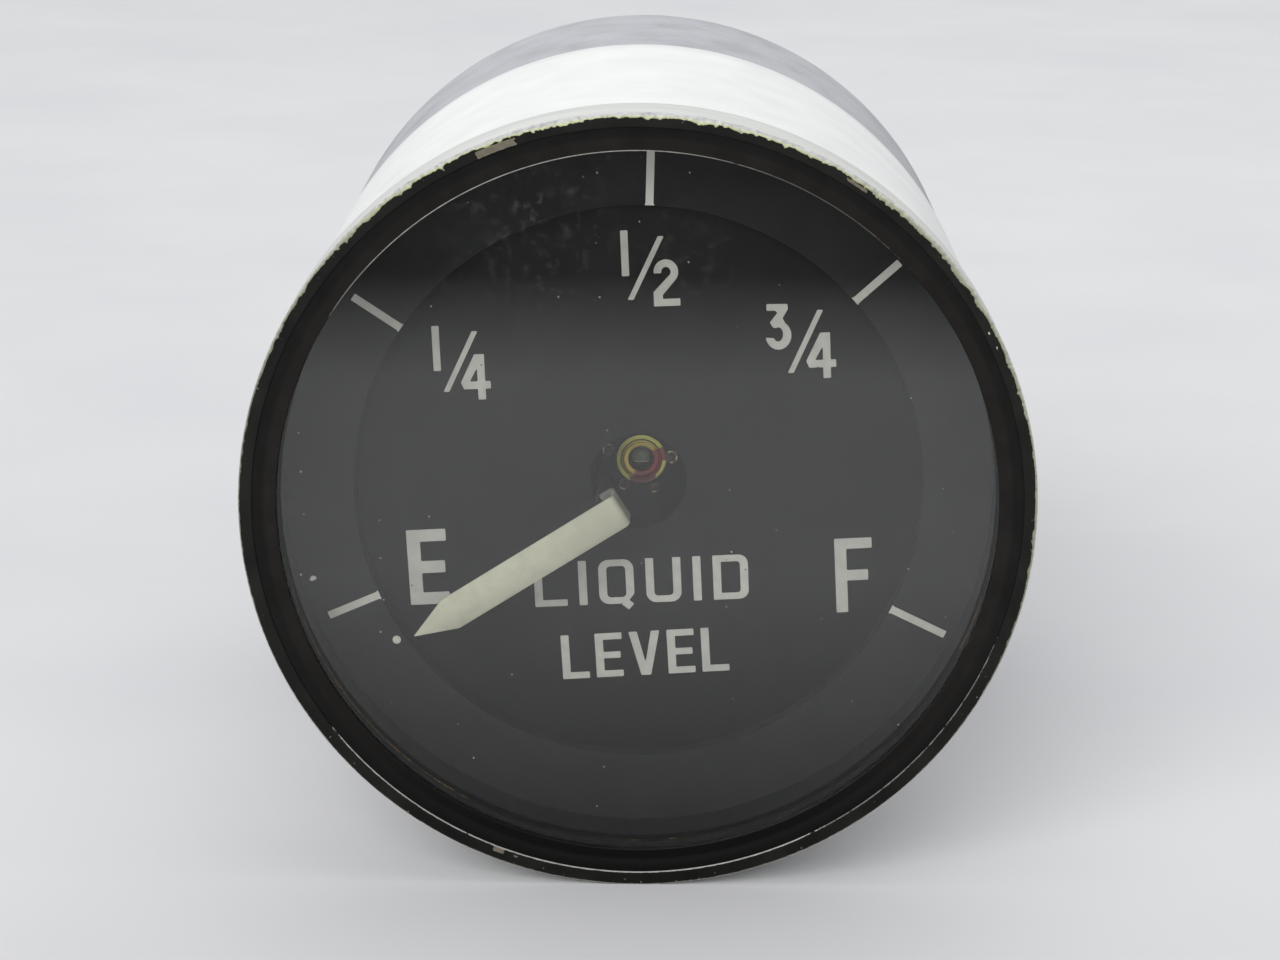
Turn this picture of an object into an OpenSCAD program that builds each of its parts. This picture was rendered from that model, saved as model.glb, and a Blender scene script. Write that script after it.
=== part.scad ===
// Panel gauge of the 57 mm round class, for a liquid tank.
// X is to the right, Y runs along the axis from the face to the rear, Z is up.
// The origin is on the axis, in the plane of the bezel's rear face.
// Depths are measured from the bezel's front plane. Angles run anticlockwise
// from the right, as seen from the front.

/* [Bezel and glass] */
// Outer diameter of the bezel
bezel_d = 57.0; // [56:0.1:60]
// Depth of the bezel's outer band, front plane to rear face
bezel_depth = 5.04; // [4.6:0.02:6]
// How far the bezel stands out over the case, all round
bezel_lip = 0.55; // [0.3:0.05:0.8]
// Width of the flat front edge of the bezel
bezel_edge = 0.97; // [0.8:0.01:1.1]
// Width of the ring that holds the glass, from the bezel's edge to the opening
retainer_w = 1.72; // [1.4:0.02:2.4]
// Depth of the bezel's skirt inside the case
skirt_depth = 6.0; // [4:0.1:8]
// Wall of the bezel's skirt
skirt_wall = 0.6; // [0.5:0.05:0.8]
// Chamfer of the bezel's outer front edge
bezel_chamfer = 0.15; // [0.05:0.01:0.3]
// How far the retaining ring lies behind the front plane
retainer_set = 0.12; // [0.05:0.01:0.3]
// Thickness of the retaining ring
retainer_t = 0.43; // [0.35:0.01:0.6]
// Depth of the hollow in the face of the retaining ring
retainer_dish = 0.12; // [0.05:0.01:0.2]
// Thickness of the cover glass
glass_t = 2.0; // [1.5:0.1:2.4]
// Thickness of the gasket behind the glass
gasket_t = 0.5; // [0.3:0.05:0.8]
// Thickness of the bezel's shoulder behind the gasket
shoulder_t = 0.85; // [0.6:0.05:1.2]

/* [Dial] */
// Height of the spacer between the bezel's shoulder and the scale ring
spacer_h = 3.6; // [3:0.1:4.2]
// Thickness of the spacer's wall
spacer_wall = 0.55; // [0.4:0.05:0.7]
// Thickness of the raised scale ring
scale_ring_t = 1.55; // [0.4:0.05:1.8]
// Width of the raised scale ring, in from the edge of the opening
scale_ring_w = 4.94; // [4:0.02:6]
// Thickness of the dial plate
dial_t = 0.8; // [0.6:0.05:1.2]
// Diameter of the hole in the middle of the dial
dial_hole_d = 7.2; // [7:0.1:8]
// Thickness of the ring that carries the dial
support_t = 2.0; // [1.5:0.1:3]
// Margin of that ring inside the posts
support_margin = 0.15; // [0.05:0.05:0.6]

/* [Pointer] */
// Width of the pointer
pointer_w = 2.5; // [1.8:0.1:3]
// Gap between the pointer's tip and the raised scale ring
pointer_gap = 1.02; // [0.5:0.02:3]
// Length of the pointer's tapered end
pointer_taper = 3.0; // [2:0.1:5]
// Radius from the axis to the back of the fold
pointer_fold_r = 1.55; // [1.2:0.05:1.9]
// Thickness of the pointer's sheet
pointer_t = 0.3; // [0.2:0.01:0.35]
// Depth of the pointer's face behind the front plane
pointer_depth = 4.85; // [4.5:0.05:5.1]
// Outer radius of the fold
fold_r = 0.8; // [0.7:0.05:0.85]
// Angle of the pointer at rest, on the off dot
rest_angle = 212.6; // [205:0.1:215]
// Width of the arm that carries the pointer
arm_w = 1.6; // [1.2:0.1:1.8]
// Thickness of the arm's sheet
arm_t = 0.3; // [0.2:0.01:0.35]

/* [Movement] */
// Diameter of the rotor's staff
staff_d = 1.2; // [1:0.05:1.4]
// Diameter of the staff's pivots
pivot_d = 0.3; // [0.24:0.02:0.4]
// Diameter of the front bridge's head
bridge_head_d = 5.3; // [5:0.1:5.4]
// Thickness of the front bridge
bridge_t = 1.4; // [1.2:0.1:1.8]
// Depth of the front bridge's face behind the dial's face
bridge_back = 7.15; // [6.8:0.05:8]
// Width of the front bridge's arm
bridge_arm_w = 3.0; // [2.4:0.1:3.2]
// Radius from the axis to the front bridge's foot
bridge_foot_r = 10.4; // [9.8:0.1:12]
// Outer diameter of the round locknut
locknut_d = 3.84; // [3.4:0.02:4]
// Thickness of the round locknut
locknut_t = 0.9; // [0.6:0.05:1.2]
// Thread diameter of the front jewel screw
jewel_screw_d = 2.7; // [2.5:0.05:2.8]
// Diameter of the bore in front of the jewel
jewel_bore_d = 1.84; // [1.4:0.02:2]
// Thread diameter of the rear jewel screw
rear_jewel_d = 1.84; // [1.7:0.02:2]
// Diameter of each terminal pin on the bridge
terminal_d = 0.56; // [0.4:0.02:0.6]
// Radius of the circle of terminal pins
terminal_r = 2.33; // [2.25:0.01:2.35]
// Thickness of the arm's hub on the staff
hub_t = 1.5; // [1.2:0.1:1.8]
// Diameter of the arm's hub
hub_d = 2.6; // [2:0.1:3]
// Diameter of the balance weight
weight_d = 2.2; // [1.6:0.1:2.6]
// Radius of the balance weight's centre
weight_r = 4.6; // [4:0.1:5.2]
// Thickness of the movement plate
plate_t = 1.5; // [1.2:0.1:2]
// Diameter of the rotor magnet
magnet_d = 9.2; // [7:0.1:9.6]
// Length of the rotor magnet
magnet_l = 5.4; // [4:0.1:5.8]
// Diameter of the coil former
former_d = 15.0; // [13.5:0.1:15.4]
// Length of the coil former between its end faces
former_l = 9.4; // [8.8:0.1:11]
// Wall between the magnet and the outside of the former
former_wall = 2.4; // [1.8:0.1:2.5]
// Build height of each winding
winding_t = 0.9; // [0.6:0.05:1.1]
// Width of each half of a winding
winding_w = 4.0; // [3:0.1:4.2]
// Gap between the two halves of a winding
winding_gap = 2.6; // [2.5:0.1:3]
// Inner diameter of the shield can
can_bore = 20.8; // [20.6:0.1:23]
// Wall of the shield can
can_wall = 0.7; // [0.5:0.05:1]
// Thickness of the former's end faces
former_end_t = 1.5; // [1.2:0.1:2]
// Diameter of the pull-off magnet
pull_magnet_d = 1.6; // [1:0.1:1.8]
// Length of the pull-off magnet
pull_magnet_l = 5.0; // [3:0.1:7]

/* [Posts and board] */
// Diameter of each post
post_d = 4.0; // [3:0.1:4.2]
// Distance of the posts' axes from the inside of the case
post_inset = 3.75; // [3.3:0.05:4.4]
// Gap between the movement plate and the case
plate_gap = 0.5; // [0.3:0.05:1]
// Depth of the clear space from the dial ring to the movement plate
front_post_l = 9.0; // [8.8:0.1:10]
// Length of the posts between the movement plate and the board
mid_post_l = 18.2; // [17:0.1:20]
// Gap between the circuit board and the case
board_gap = 1.85; // [1:0.05:2.2]
// Thickness of the circuit board
board_t = 1.6; // [1:0.1:2]
// Diameter of each resistor's body
resistor_d = 2.4; // [1.6:0.1:3]
// Length of each resistor's body
resistor_l = 6.6; // [5:0.1:8]
// Side of each trimmer's square body
trimmer_w = 6.4; // [5:0.1:7]
// Height of each trimmer's body
trimmer_h = 4.0; // [3:0.1:4.6]
// Spacing of the two trimmers
trimmer_pitch = 14.0; // [10:0.5:16]
// Distance of the trimmers below the axis
trimmer_row = 9.0; // [8:0.5:11]
// Diameter of each trimmer's slotted screw
trimmer_screw_d = 2.4; // [1.6:0.1:3]
// Spacing of the four resistors
resistor_pitch = 6.0; // [4:0.5:8]
// Distance of the resistors above the axis
resistor_row = 8.0; // [7:0.5:10]
// Diameter of each resistor's leads
lead_d = 0.7; // [0.5:0.05:0.9]
// Length of each resistor's lead
lead_l = 1.5; // [1:0.1:2.5]

/* [Case] */
// Wall of the case
case_wall = 0.8; // [0.6:0.05:1]
// Thickness of the case's rear wall
case_back_t = 1.2; // [1:0.1:2]
// Depth of the case's rear face behind the front plane
case_depth = 63.7; // [62:0.1:70]
// Radius of the case's rear edge
case_edge_r = 1.5; // [1:0.1:2]
// Thickness of the label round the case
label_t = 0.08; // [0.05:0.01:0.09]
// Depth of the label's rear end behind the front plane
label_end = 41.2; // [30:0.1:55]
// Diameter of each case screw's head
case_screw_head = 4.2; // [3.6:0.1:5]

/* [Receptacle] */
// Side of the receptacle's square flange
flange_w = 25.4; // [23:0.1:26]
// Thickness of the receptacle's flange
flange_t = 2.8; // [2:0.1:3.4]
// Spacing of the flange's four screws
flange_screw_pitch = 18.26; // [17.5:0.02:19]
// Diameter of each flange screw's shank
flange_screw_d = 2.8; // [2.2:0.1:3]
// Outer diameter of the receptacle's threaded barrel
barrel_d = 15.88; // [15:0.02:16.4]
// Length of the barrel beyond the flange
barrel_l = 11.5; // [9:0.1:14]
// Wall of the barrel
barrel_wall = 1.1; // [0.9:0.05:1.3]
// Depth of the socket inside the barrel
socket_l = 9.4; // [8:0.1:11]
// Diameter of each contact pin
contact_d = 1.6; // [1:0.02:2]
// Radius of the circle of contact pins
contact_r = 3.9; // [3.8:0.05:4.2]
// How far the contact pins stop below the barrel's rim
contact_recess = 1.6; // [1:0.1:3]
// Length of the receptacle's body inside the case
receptacle_inner_l = 7.0; // [5:0.1:9]
// Corner radius of the flange and its gasket
flange_corner_r = 2.2; // [1:0.1:3]
// Diameter of each contact's shoulder inside the insert
contact_body_d = 2.2; // [2.1:0.05:2.6]
// Length of each contact's solder cup
cup_l = 2.0; // [1:0.1:3]

/* [Hidden] */
$fn = 96;
// Clearance between fitted pieces, per side
fit = 0.03;
// Radial clearance of a pivot in its jewel
pivot_play = 0.05;
// Clearance between stacked faces
seat = 0.01;
// Facets of small round pieces
small_fn = 40;
// Depth, width and setback of the relief groove behind the barrel's thread
groove_depth = 0.35;
groove_w = 1.0;
groove_set = 0.6;
// How far a bore or cut runs past the face that it opens in
past = 1;
// Slot across each pan-head screw
slot_w = 0.6;
slot_depth = 0.65;

bezel_r = bezel_d / 2;
opening_r = bezel_r - bezel_edge - retainer_w;
case_r = bezel_r - bezel_lip;
case_bore_r = case_r - case_wall;
skirt_r = case_bore_r - fit;
skirt_bore_r = skirt_r - skirt_wall;
front_bore_r = bezel_r - bezel_edge;
retainer_r = front_bore_r - fit;
glass_r = front_bore_r - 3 * fit;
glass_front = retainer_set + retainer_t;
gasket_front = glass_front + glass_t;
shoulder_front = gasket_front + gasket_t;
spacer_front = shoulder_front + shoulder_t;
spacer_r = skirt_bore_r - fit;
spacer_bore_r = spacer_r - spacer_wall;
scale_front = spacer_front + spacer_h;
dial_front = scale_front + scale_ring_t;
support_front = dial_front + dial_t;
scale_ring_bore_r = opening_r - scale_ring_w;
post_circle_r = case_bore_r - post_inset;
support_bore_r = post_circle_r - post_d / 2 - support_margin;
pointer_tip_r = scale_ring_bore_r - pointer_gap;
board_r = case_bore_r - board_gap;
plate_r = case_bore_r - plate_gap;
post_front = support_front + support_t;
plate_front = post_front + front_post_l;
plate_back = plate_front + plate_t;
bridge_front = dial_front + bridge_back;
board_front = plate_back + mid_post_l;
board_back = board_front + board_t;
case_inside = case_depth - case_back_t;

// Movement
staff_r = staff_d / 2;
pivot_r = pivot_d / 2;
jewel_r = 0.6;
jewel_seat_l = 0.9;
jewel_t = jewel_seat_l + 1.3;
jewel_dome = 0.4;
jewel_hole_l = 0.55;
jewel_screw_set = 0.15;
jewel_screw_proud = 0.5;
jewel_screw_l = bridge_t + locknut_t - jewel_screw_set + jewel_screw_proud;
jewel_screw_front = bridge_front - locknut_t + jewel_screw_set;
jewel_screw_rear = jewel_screw_front + jewel_screw_l;
staff_gap = 0.35;
staff_front = jewel_screw_rear + staff_gap;
hub_front = staff_front + 0.25;
foot_set = 0.3;
foot_depth = hub_front + foot_set;
arm_r = dial_hole_d / 2 - 0.35;
pivot_reach = 0.45;
rear_pivot_l = 1.0;
rear_jewel_bore = 1.2;
coil_gap = 0.1;
can_front = plate_back;
winding_margin = 0.3;
winding_a_front = can_front + winding_margin;
winding_b_front = winding_a_front + winding_t + coil_gap;
former_front = winding_b_front + winding_t + coil_gap;
former_rear = former_front + former_l;
winding_b_rear = former_rear + coil_gap + winding_t;
winding_a_rear = winding_b_rear + coil_gap + winding_t;
can_inside = winding_a_rear + winding_margin;
former_r = former_d / 2;
former_mid = (former_front + former_rear) / 2;
neck_r = winding_gap / 2 - coil_gap;
staff_bore_r = staff_r + 0.2;
plate_hole_r = staff_bore_r + 0.6;
rear_jewel_r = rear_jewel_d / 2 - 0.2;
rear_jewel_front = former_rear - 0.5;
staff_rear = rear_jewel_front - staff_gap;
rear_jewel_proud = 0.8;
pull_magnet_angle = 225;
can_bore_r = can_bore / 2;
can_r = can_bore_r + can_wall;

// The bridge hangs in the sector that the arm never sweeps
bridge_angle = 270;
bridge_foot_d = 3.6;
bridge_screw_d = 1.6;
bridge_screw_head_d = 3.2;
bridge_screw_head_t = 0.9;
bridge_screw_slot = [0.4, 0.7];
locknut_chamfer = 0.25;
terminal_start = 166;
terminal_step = 65.7;
terminal_count = 4;
terminal_proud = 1.0;
terminal_tail = 0.25;

// Posts stand clear of the shield can and of the bridge's foot
post_angles = [30, 150, 270];
screw_d = 2.0;
tap_depth = 4;
stud_reach = 3.5;
screw_reach = 3;
trimmer_screw_h = 0.5;
dial_screw_head = 3.6;
dial_screw_head_t = dial_t * 0.7;
dial_screw_edge = 0.1;
case_screw_head_t = 1.6;
resistor_places = [-1.5 : 1.5];

// Receptacle
barrel_r = barrel_d / 2;
socket_r = barrel_r - barrel_wall;
gasket_flange_t = 0.8;
flange_front = case_depth + gasket_flange_t;
flange_back = flange_front + flange_t;
barrel_end = flange_back + barrel_l;
insert_front = case_inside - receptacle_inner_l;
insert_rear = barrel_end - socket_l;
body_r = barrel_r - 0.3;
flange_head_d = flange_screw_d + 1.9;
flange_head_t = 1.5;
flange_screw_past = 2.5;
insert_set = 0.6;
contact_angles = [90, 210, 330];
contact_tip = 0.5;
contact_tip_r = contact_d / 2 - 0.4;
contact_front = insert_front - cup_l;
cup_r = contact_d / 2 - 0.1;

// Puts a child's local Z along the axis, from the given depth towards the rear
module at_depth(depth) {
    translate([0, depth - bezel_depth, 0])
        rotate([-90, 0, 0])
            children();
}

// Sets a child out from the axis at an angle seen from the front
module polar(angle, radius) {
    rotate([0, -angle, 0])
        translate([radius, 0, 0])
            children();
}

module disc(radius, depth, length, fn = $fn) {
    at_depth(depth)
        cylinder(r = radius, h = length, $fn = fn);
}

module ring(outer, inner, depth, length, fn = $fn) {
    difference() {
        disc(outer, depth, length, fn);
        disc(inner, depth - past, length + 2 * past, fn);
    }
}

// Solid of revolution from points given as [radius, depth]
module turned(points, fn = $fn) {
    at_depth(0)
        rotate_extrude($fn = fn)
            polygon(points);
}

// Three posts, tapped in front; the rear end has a stud, or is tapped too
module post_set(depth, length, stud_l) {
    for (angle = post_angles)
        polar(angle, post_circle_r)
            difference() {
                union() {
                    disc(post_d / 2, depth, length, small_fn);
                    if (stud_l > 0)
                        disc(screw_d / 2, depth + length - past, stud_l + past, small_fn);
                }
                disc(screw_d / 2 + fit, depth - past, tap_depth + past, small_fn);
                if (stud_l == 0)
                    disc(screw_d / 2 + fit, depth + length - tap_depth, tap_depth + past, small_fn);
            }
}

module post_holes(radius, depth, length) {
    for (angle = post_angles)
        polar(angle, post_circle_r)
            disc(radius, depth, length, small_fn);
}

// Slotted pan-head screw driven from the rear, its head on the face at a depth
module rear_screw(face_depth, head_d, head_t, shank_d, reach) {
    top = face_depth + head_t;
    corner = head_t * 0.6;
    difference() {
        union() {
            disc(shank_d / 2, face_depth - reach, reach + head_t / 2, small_fn);
            turned([
                [0, face_depth + seat],
                [head_d / 2, face_depth + seat],
                for (a = [0 : 15 : 90])
                    [head_d / 2 - corner * (1 - cos(a)), top - corner * (1 - sin(a))],
                [0, top]
            ], small_fn);
        }
        at_depth(top)
            cube([head_d * 2, slot_w, 2 * slot_depth], center = true);
    }
}

module bezel_ring() color([0.10, 0.10, 0.10])
    turned([
        [front_bore_r, 0],
        [bezel_r - bezel_chamfer, 0],
        [bezel_r, bezel_chamfer],
        [bezel_r, bezel_depth],
        [skirt_r, bezel_depth],
        [skirt_r, bezel_depth + skirt_depth],
        [skirt_bore_r, bezel_depth + skirt_depth],
        [skirt_bore_r, spacer_front],
        [spacer_bore_r, spacer_front],
        [spacer_bore_r, shoulder_front],
        [front_bore_r, shoulder_front]
    ]);

module lens_retainer() color([0.06, 0.06, 0.06])
    turned([
        [opening_r, retainer_set + retainer_t / 2],
        [opening_r + 0.2, retainer_set + retainer_dish],
        [(opening_r + retainer_r) / 2, retainer_set + retainer_dish],
        [retainer_r - 0.25, retainer_set],
        [retainer_r, retainer_set],
        [retainer_r, glass_front],
        [opening_r, glass_front]
    ]);

module cover_glass() color([0.85, 0.90, 0.90, 0.25])
    disc(glass_r, glass_front + seat, glass_t - 2 * seat);

module glass_gasket() color([0.05, 0.05, 0.05])
    ring(glass_r, spacer_bore_r, gasket_front, gasket_t - seat);

module dial_spacer() color([0.05, 0.05, 0.05])
    ring(spacer_r, spacer_bore_r, spacer_front + seat, spacer_h - 2 * seat);

module scale_ring() color([0.07, 0.07, 0.07])
    ring(spacer_r, scale_ring_bore_r, scale_front, scale_ring_t);

// Outline of a countersunk dial screw, as [radius, depth]
function dial_screw_points(head_r, shank_r, front, rear) = [
    [0, front],
    [head_r, front],
    [head_r, dial_front + dial_screw_edge],
    [shank_r, dial_front + dial_screw_head_t],
    [shank_r, rear],
    [0, rear]
];

module dial_plate() color([0.07, 0.07, 0.07])
    difference() {
        disc(spacer_r, dial_front, dial_t - seat);
        disc(dial_hole_d / 2, dial_front - past, dial_t + 2 * past);
        for (angle = post_angles)
            polar(angle, post_circle_r)
                turned(dial_screw_points(dial_screw_head / 2 + fit, screw_d / 2 + fit,
                    dial_front - dial_screw_edge, support_front + past), small_fn);
    }

module dial_screws() color([0.62, 0.60, 0.55])
    for (angle = post_angles)
        polar(angle, post_circle_r)
            difference() {
                turned(dial_screw_points(dial_screw_head / 2, screw_d / 2,
                    dial_front + seat, post_front + screw_reach), small_fn);
                at_depth(dial_front)
                    cube([dial_screw_head * 2, slot_w, slot_depth], center = true);
            }

module dial_support() color([0.55, 0.56, 0.58])
    difference() {
        ring(spacer_r, support_bore_r, support_front, support_t);
        post_holes(screw_d / 2 + fit, support_front - past, support_t + 2 * past);
    }

module front_posts() color([0.72, 0.62, 0.36])
    post_set(post_front + seat, front_post_l - 2 * seat, plate_t + stud_reach);

// Flat pointer, tapered to its tip, whose root is folded back under itself
module pointer() color([0.80, 0.79, 0.70]) {
    fold_centre = pointer_fold_r + fold_r;
    lower_face = pointer_depth + 2 * fold_r;
    rotate([0, -rest_angle, 0]) {
        translate([0, pointer_depth - bezel_depth, 0])
            rotate([-90, 0, 0])
                linear_extrude(height = pointer_t)
                    polygon([
                        [fold_centre, -pointer_w / 2],
                        [pointer_tip_r - pointer_taper, -pointer_w / 2],
                        [pointer_tip_r, 0],
                        [pointer_tip_r - pointer_taper, pointer_w / 2],
                        [fold_centre, pointer_w / 2]
                    ]);
        translate([fold_centre, pointer_depth + fold_r - bezel_depth, -pointer_w / 2])
            difference() {
                cylinder(r = fold_r, h = pointer_w, $fn = small_fn);
                translate([0, 0, -past])
                    cylinder(r = fold_r - pointer_t, h = pointer_w + 2 * past, $fn = small_fn);
                translate([0, -2 * fold_r, -past])
                    cube([2 * fold_r, 4 * fold_r, pointer_w + 2 * past]);
            }
        translate([fold_centre, lower_face - pointer_t - bezel_depth, -pointer_w / 2])
            cube([arm_r - fold_centre, pointer_t, pointer_w]);
    }
}

// Arm that carries the pointer round the outside of the front bridge
module pointer_arm() color([0.16, 0.16, 0.16]) {
    arm_face = arm_r - arm_t;
    arm_start = pointer_depth + 2 * fold_r + seat;
    rotate([0, -rest_angle, 0]) {
        translate([arm_face, arm_start - bezel_depth, -arm_w / 2])
            cube([arm_t, foot_depth + arm_t - arm_start, arm_w]);
        difference() {
            union() {
                disc(hub_d / 2, hub_front, hub_t, small_fn);
                translate([0, foot_depth - bezel_depth, -arm_w / 2])
                    cube([arm_face + arm_t, arm_t, arm_w]);
                translate([-weight_r, foot_depth - bezel_depth, -arm_w / 2])
                    cube([weight_r, arm_t, arm_w]);
                translate([-weight_r, 0, 0])
                    disc(arm_w / 2, foot_depth, arm_t, small_fn);
            }
            disc(staff_r + seat, hub_front - past, hub_t + 2 * past, small_fn);
        }
    }
}

module balance_weight() color([0.70, 0.58, 0.30])
    rotate([0, -rest_angle, 0])
        translate([-weight_r, 0, 0])
            disc(weight_d / 2, foot_depth + arm_t, hub_t - foot_set - arm_t, small_fn);

module staff() color([0.75, 0.76, 0.78]) {
    disc(staff_r, staff_front, staff_rear - staff_front, small_fn);
    front_tip = jewel_screw_rear - pivot_reach;
    rear_tip = rear_jewel_front + rear_pivot_l;
    disc(pivot_r, front_tip, staff_front - front_tip + seat, small_fn);
    disc(pivot_r, staff_rear - seat, rear_tip - staff_rear + seat, small_fn);
}

module rotor_magnet() color([0.35, 0.35, 0.37])
    ring(magnet_d / 2, staff_r + seat, former_mid - magnet_l / 2, magnet_l, 64);

// Black bridge over the staff: a round head, an arm and a foot with its post
module front_bridge() color([0.08, 0.08, 0.08])
    difference() {
        union() {
            disc(bridge_head_d / 2, bridge_front, bridge_t);
            rotate([0, -bridge_angle, 0]) {
                translate([0, bridge_front - bezel_depth, -bridge_arm_w / 2])
                    cube([bridge_foot_r, bridge_t, bridge_arm_w]);
                translate([bridge_foot_r, 0, 0])
                    disc(bridge_foot_d / 2, bridge_front, plate_front - bridge_front - seat, small_fn);
            }
        }
        disc(jewel_screw_d / 2 + seat, bridge_front - past, bridge_t + 2 * past, small_fn);
        polar(bridge_angle, bridge_foot_r)
            disc(bridge_screw_d / 2 + fit, bridge_front - past,
                plate_front - bridge_front + 2 * past, small_fn);
        for (i = [0 : terminal_count - 1])
            polar(terminal_start + i * terminal_step, terminal_r)
                disc(terminal_d / 2 + seat / 2, bridge_front - past, bridge_t + 2 * past, small_fn);
    }

module bridge_screw() color([0.72, 0.72, 0.70])
    polar(bridge_angle, bridge_foot_r)
        difference() {
            union() {
                disc(bridge_screw_head_d / 2, bridge_front - bridge_screw_head_t,
                    bridge_screw_head_t - seat, small_fn);
                disc(bridge_screw_d / 2, bridge_front - bridge_screw_head_t / 2,
                    plate_back - bridge_front + seat, small_fn);
            }
            at_depth(bridge_front - bridge_screw_head_t)
                cube([bridge_foot_d * 2, bridge_screw_slot[0], bridge_screw_slot[1]], center = true);
        }

module front_jewel_screw() color([0.70, 0.56, 0.26])
    difference() {
        disc(jewel_screw_d / 2, jewel_screw_front, jewel_screw_l, small_fn);
        disc(jewel_bore_d / 2, jewel_screw_front - past,
            jewel_screw_l - jewel_seat_l + past, small_fn);
        disc(jewel_r, jewel_screw_front - past, jewel_screw_l + 2 * past, small_fn);
    }

// Domed jewel in the rear of its screw, with a blind hole for the pivot
module front_jewel() color([0.30, 0.36, 0.32])
    turned([
        for (a = [0 : 15 : 90])
            [(jewel_r - seat) * sin(a), jewel_screw_rear - jewel_t + jewel_dome * (1 - cos(a))],
        [jewel_r - seat, jewel_screw_rear],
        [pivot_r + pivot_play, jewel_screw_rear],
        [pivot_r + pivot_play, jewel_screw_rear - jewel_hole_l],
        [0, jewel_screw_rear - jewel_hole_l]
    ], small_fn);

module jewel_locknut() color([0.80, 0.66, 0.30])
    turned([
        [jewel_screw_d / 2 + seat, bridge_front - locknut_t + locknut_chamfer / 2],
        [jewel_screw_d / 2 + seat + locknut_chamfer / 2, bridge_front - locknut_t],
        [locknut_d / 2 - locknut_chamfer, bridge_front - locknut_t],
        [locknut_d / 2, bridge_front - locknut_t + locknut_chamfer],
        [locknut_d / 2, bridge_front - seat],
        [jewel_screw_d / 2 + seat, bridge_front - seat]
    ], 64);

module terminal_pins() color([0.78, 0.64, 0.32])
    for (i = [0 : terminal_count - 1])
        polar(terminal_start + i * terminal_step, terminal_r)
            disc(terminal_d / 2, bridge_front - terminal_proud,
                bridge_t + terminal_proud + terminal_tail, small_fn);

module movement_plate() color([0.20, 0.20, 0.21])
    difference() {
        disc(plate_r, plate_front, plate_t);
        disc(plate_hole_r, plate_front - past, plate_t + 2 * past, small_fn);
        post_holes(screw_d / 2 + fit, plate_front - past, plate_t + 2 * past);
        polar(bridge_angle, bridge_foot_r)
            disc(bridge_screw_d / 2 + fit, plate_front - past, plate_t + 2 * past, small_fn);
    }

// Each half of the former is a cup with a neck; the windings cross round both
module former_half(depth, length, chamber_depth, chamber_l, neck_depth, neck_l, bore) {
    difference() {
        union() {
            disc(former_r, depth, length);
            disc(neck_r, neck_depth, neck_l, small_fn);
        }
        disc(former_r - former_wall, chamber_depth, chamber_l);
        disc(bore, depth - former_l, length + 2 * former_l, small_fn);
    }
}

module former_front_half() color([0.12, 0.12, 0.12])
    former_half(former_front, former_mid - former_front - seat,
        former_front + former_end_t, former_l,
        can_front + seat, former_front - can_front, staff_bore_r);

module former_rear_half() color([0.12, 0.12, 0.12])
    former_half(former_mid, former_rear - former_mid,
        former_mid - past, former_l / 2 + past - former_end_t,
        former_rear - past, can_inside - former_rear + past - seat, rear_jewel_r + seat);

// One half of a winding is a flat loop of wire round the former
module winding_half(front, rear, offset) {
    inner = former_r + coil_gap;
    outer = inner + winding_t;
    translate([offset, 0, 0])
        difference() {
            translate([0, front - bezel_depth, -outer])
                cube([winding_w, rear - front, 2 * outer]);
            translate([-past, front + winding_t - bezel_depth, -inner])
                cube([winding_w + 2 * past, rear - front - 2 * winding_t, 2 * inner]);
        }
}

module winding(front, rear) {
    winding_half(front, rear, winding_gap / 2);
    winding_half(front, rear, -winding_gap / 2 - winding_w);
}

module winding_a() color([0.62, 0.30, 0.14])
    winding(winding_a_front, winding_a_rear);

module winding_b() color([0.62, 0.30, 0.14])
    rotate([0, 90, 0])
        winding(winding_b_front, winding_b_rear);

module pull_off_magnet() color([0.40, 0.40, 0.42])
    polar(pull_magnet_angle, can_bore_r - pull_magnet_d / 2 - seat)
        disc(pull_magnet_d / 2, former_mid - pull_magnet_l / 2, pull_magnet_l, small_fn);

module shield_can() color([0.66, 0.67, 0.68])
    difference() {
        disc(can_r, can_front + seat, can_inside + can_wall - can_front);
        disc(can_bore_r, can_front - past, can_inside - can_front + past);
        disc(rear_jewel_d / 2 + fit, can_inside - past, can_wall + 2 * past, small_fn);
    }

module rear_jewel_screw() color([0.70, 0.56, 0.26])
    difference() {
        union() {
            disc(rear_jewel_r, rear_jewel_front, can_inside - rear_jewel_front + can_wall, small_fn);
            disc(rear_jewel_d / 2, can_inside + seat, can_wall + rear_jewel_proud, small_fn);
        }
        disc(pivot_r + pivot_play, rear_jewel_front - past, past + rear_jewel_bore, small_fn);
    }

module mid_posts() color([0.72, 0.62, 0.36])
    post_set(plate_back + seat, mid_post_l - 2 * seat, board_t + stud_reach);

module circuit_board() color([0.16, 0.34, 0.20])
    difference() {
        disc(board_r, board_front, board_t - seat);
        post_holes(screw_d / 2 + fit, board_front - past, board_t + 2 * past);
    }

module resistors() color([0.62, 0.50, 0.34])
    for (i = resistor_places)
        translate([i * resistor_pitch, board_back + resistor_d / 2 - bezel_depth, resistor_row])
            for (part = [[resistor_d, resistor_l], [lead_d, resistor_l + 2 * lead_l]])
                translate([0, 0, -part[1] / 2])
                    cylinder(d = part[0], h = part[1], $fn = small_fn);

module trimmers() color([0.20, 0.30, 0.55])
    for (side = [-1, 1])
        translate([side * trimmer_pitch / 2, board_back - bezel_depth, -trimmer_row]) {
            translate([-trimmer_w / 2, 0, -trimmer_w / 2])
                cube([trimmer_w, trimmer_h, trimmer_w]);
            rotate([-90, 0, 0])
                cylinder(d = trimmer_screw_d, h = trimmer_h + trimmer_screw_h, $fn = small_fn);
        }

module rear_posts() color([0.72, 0.62, 0.36])
    post_set(board_back, case_inside - board_back - seat, 0);

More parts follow.
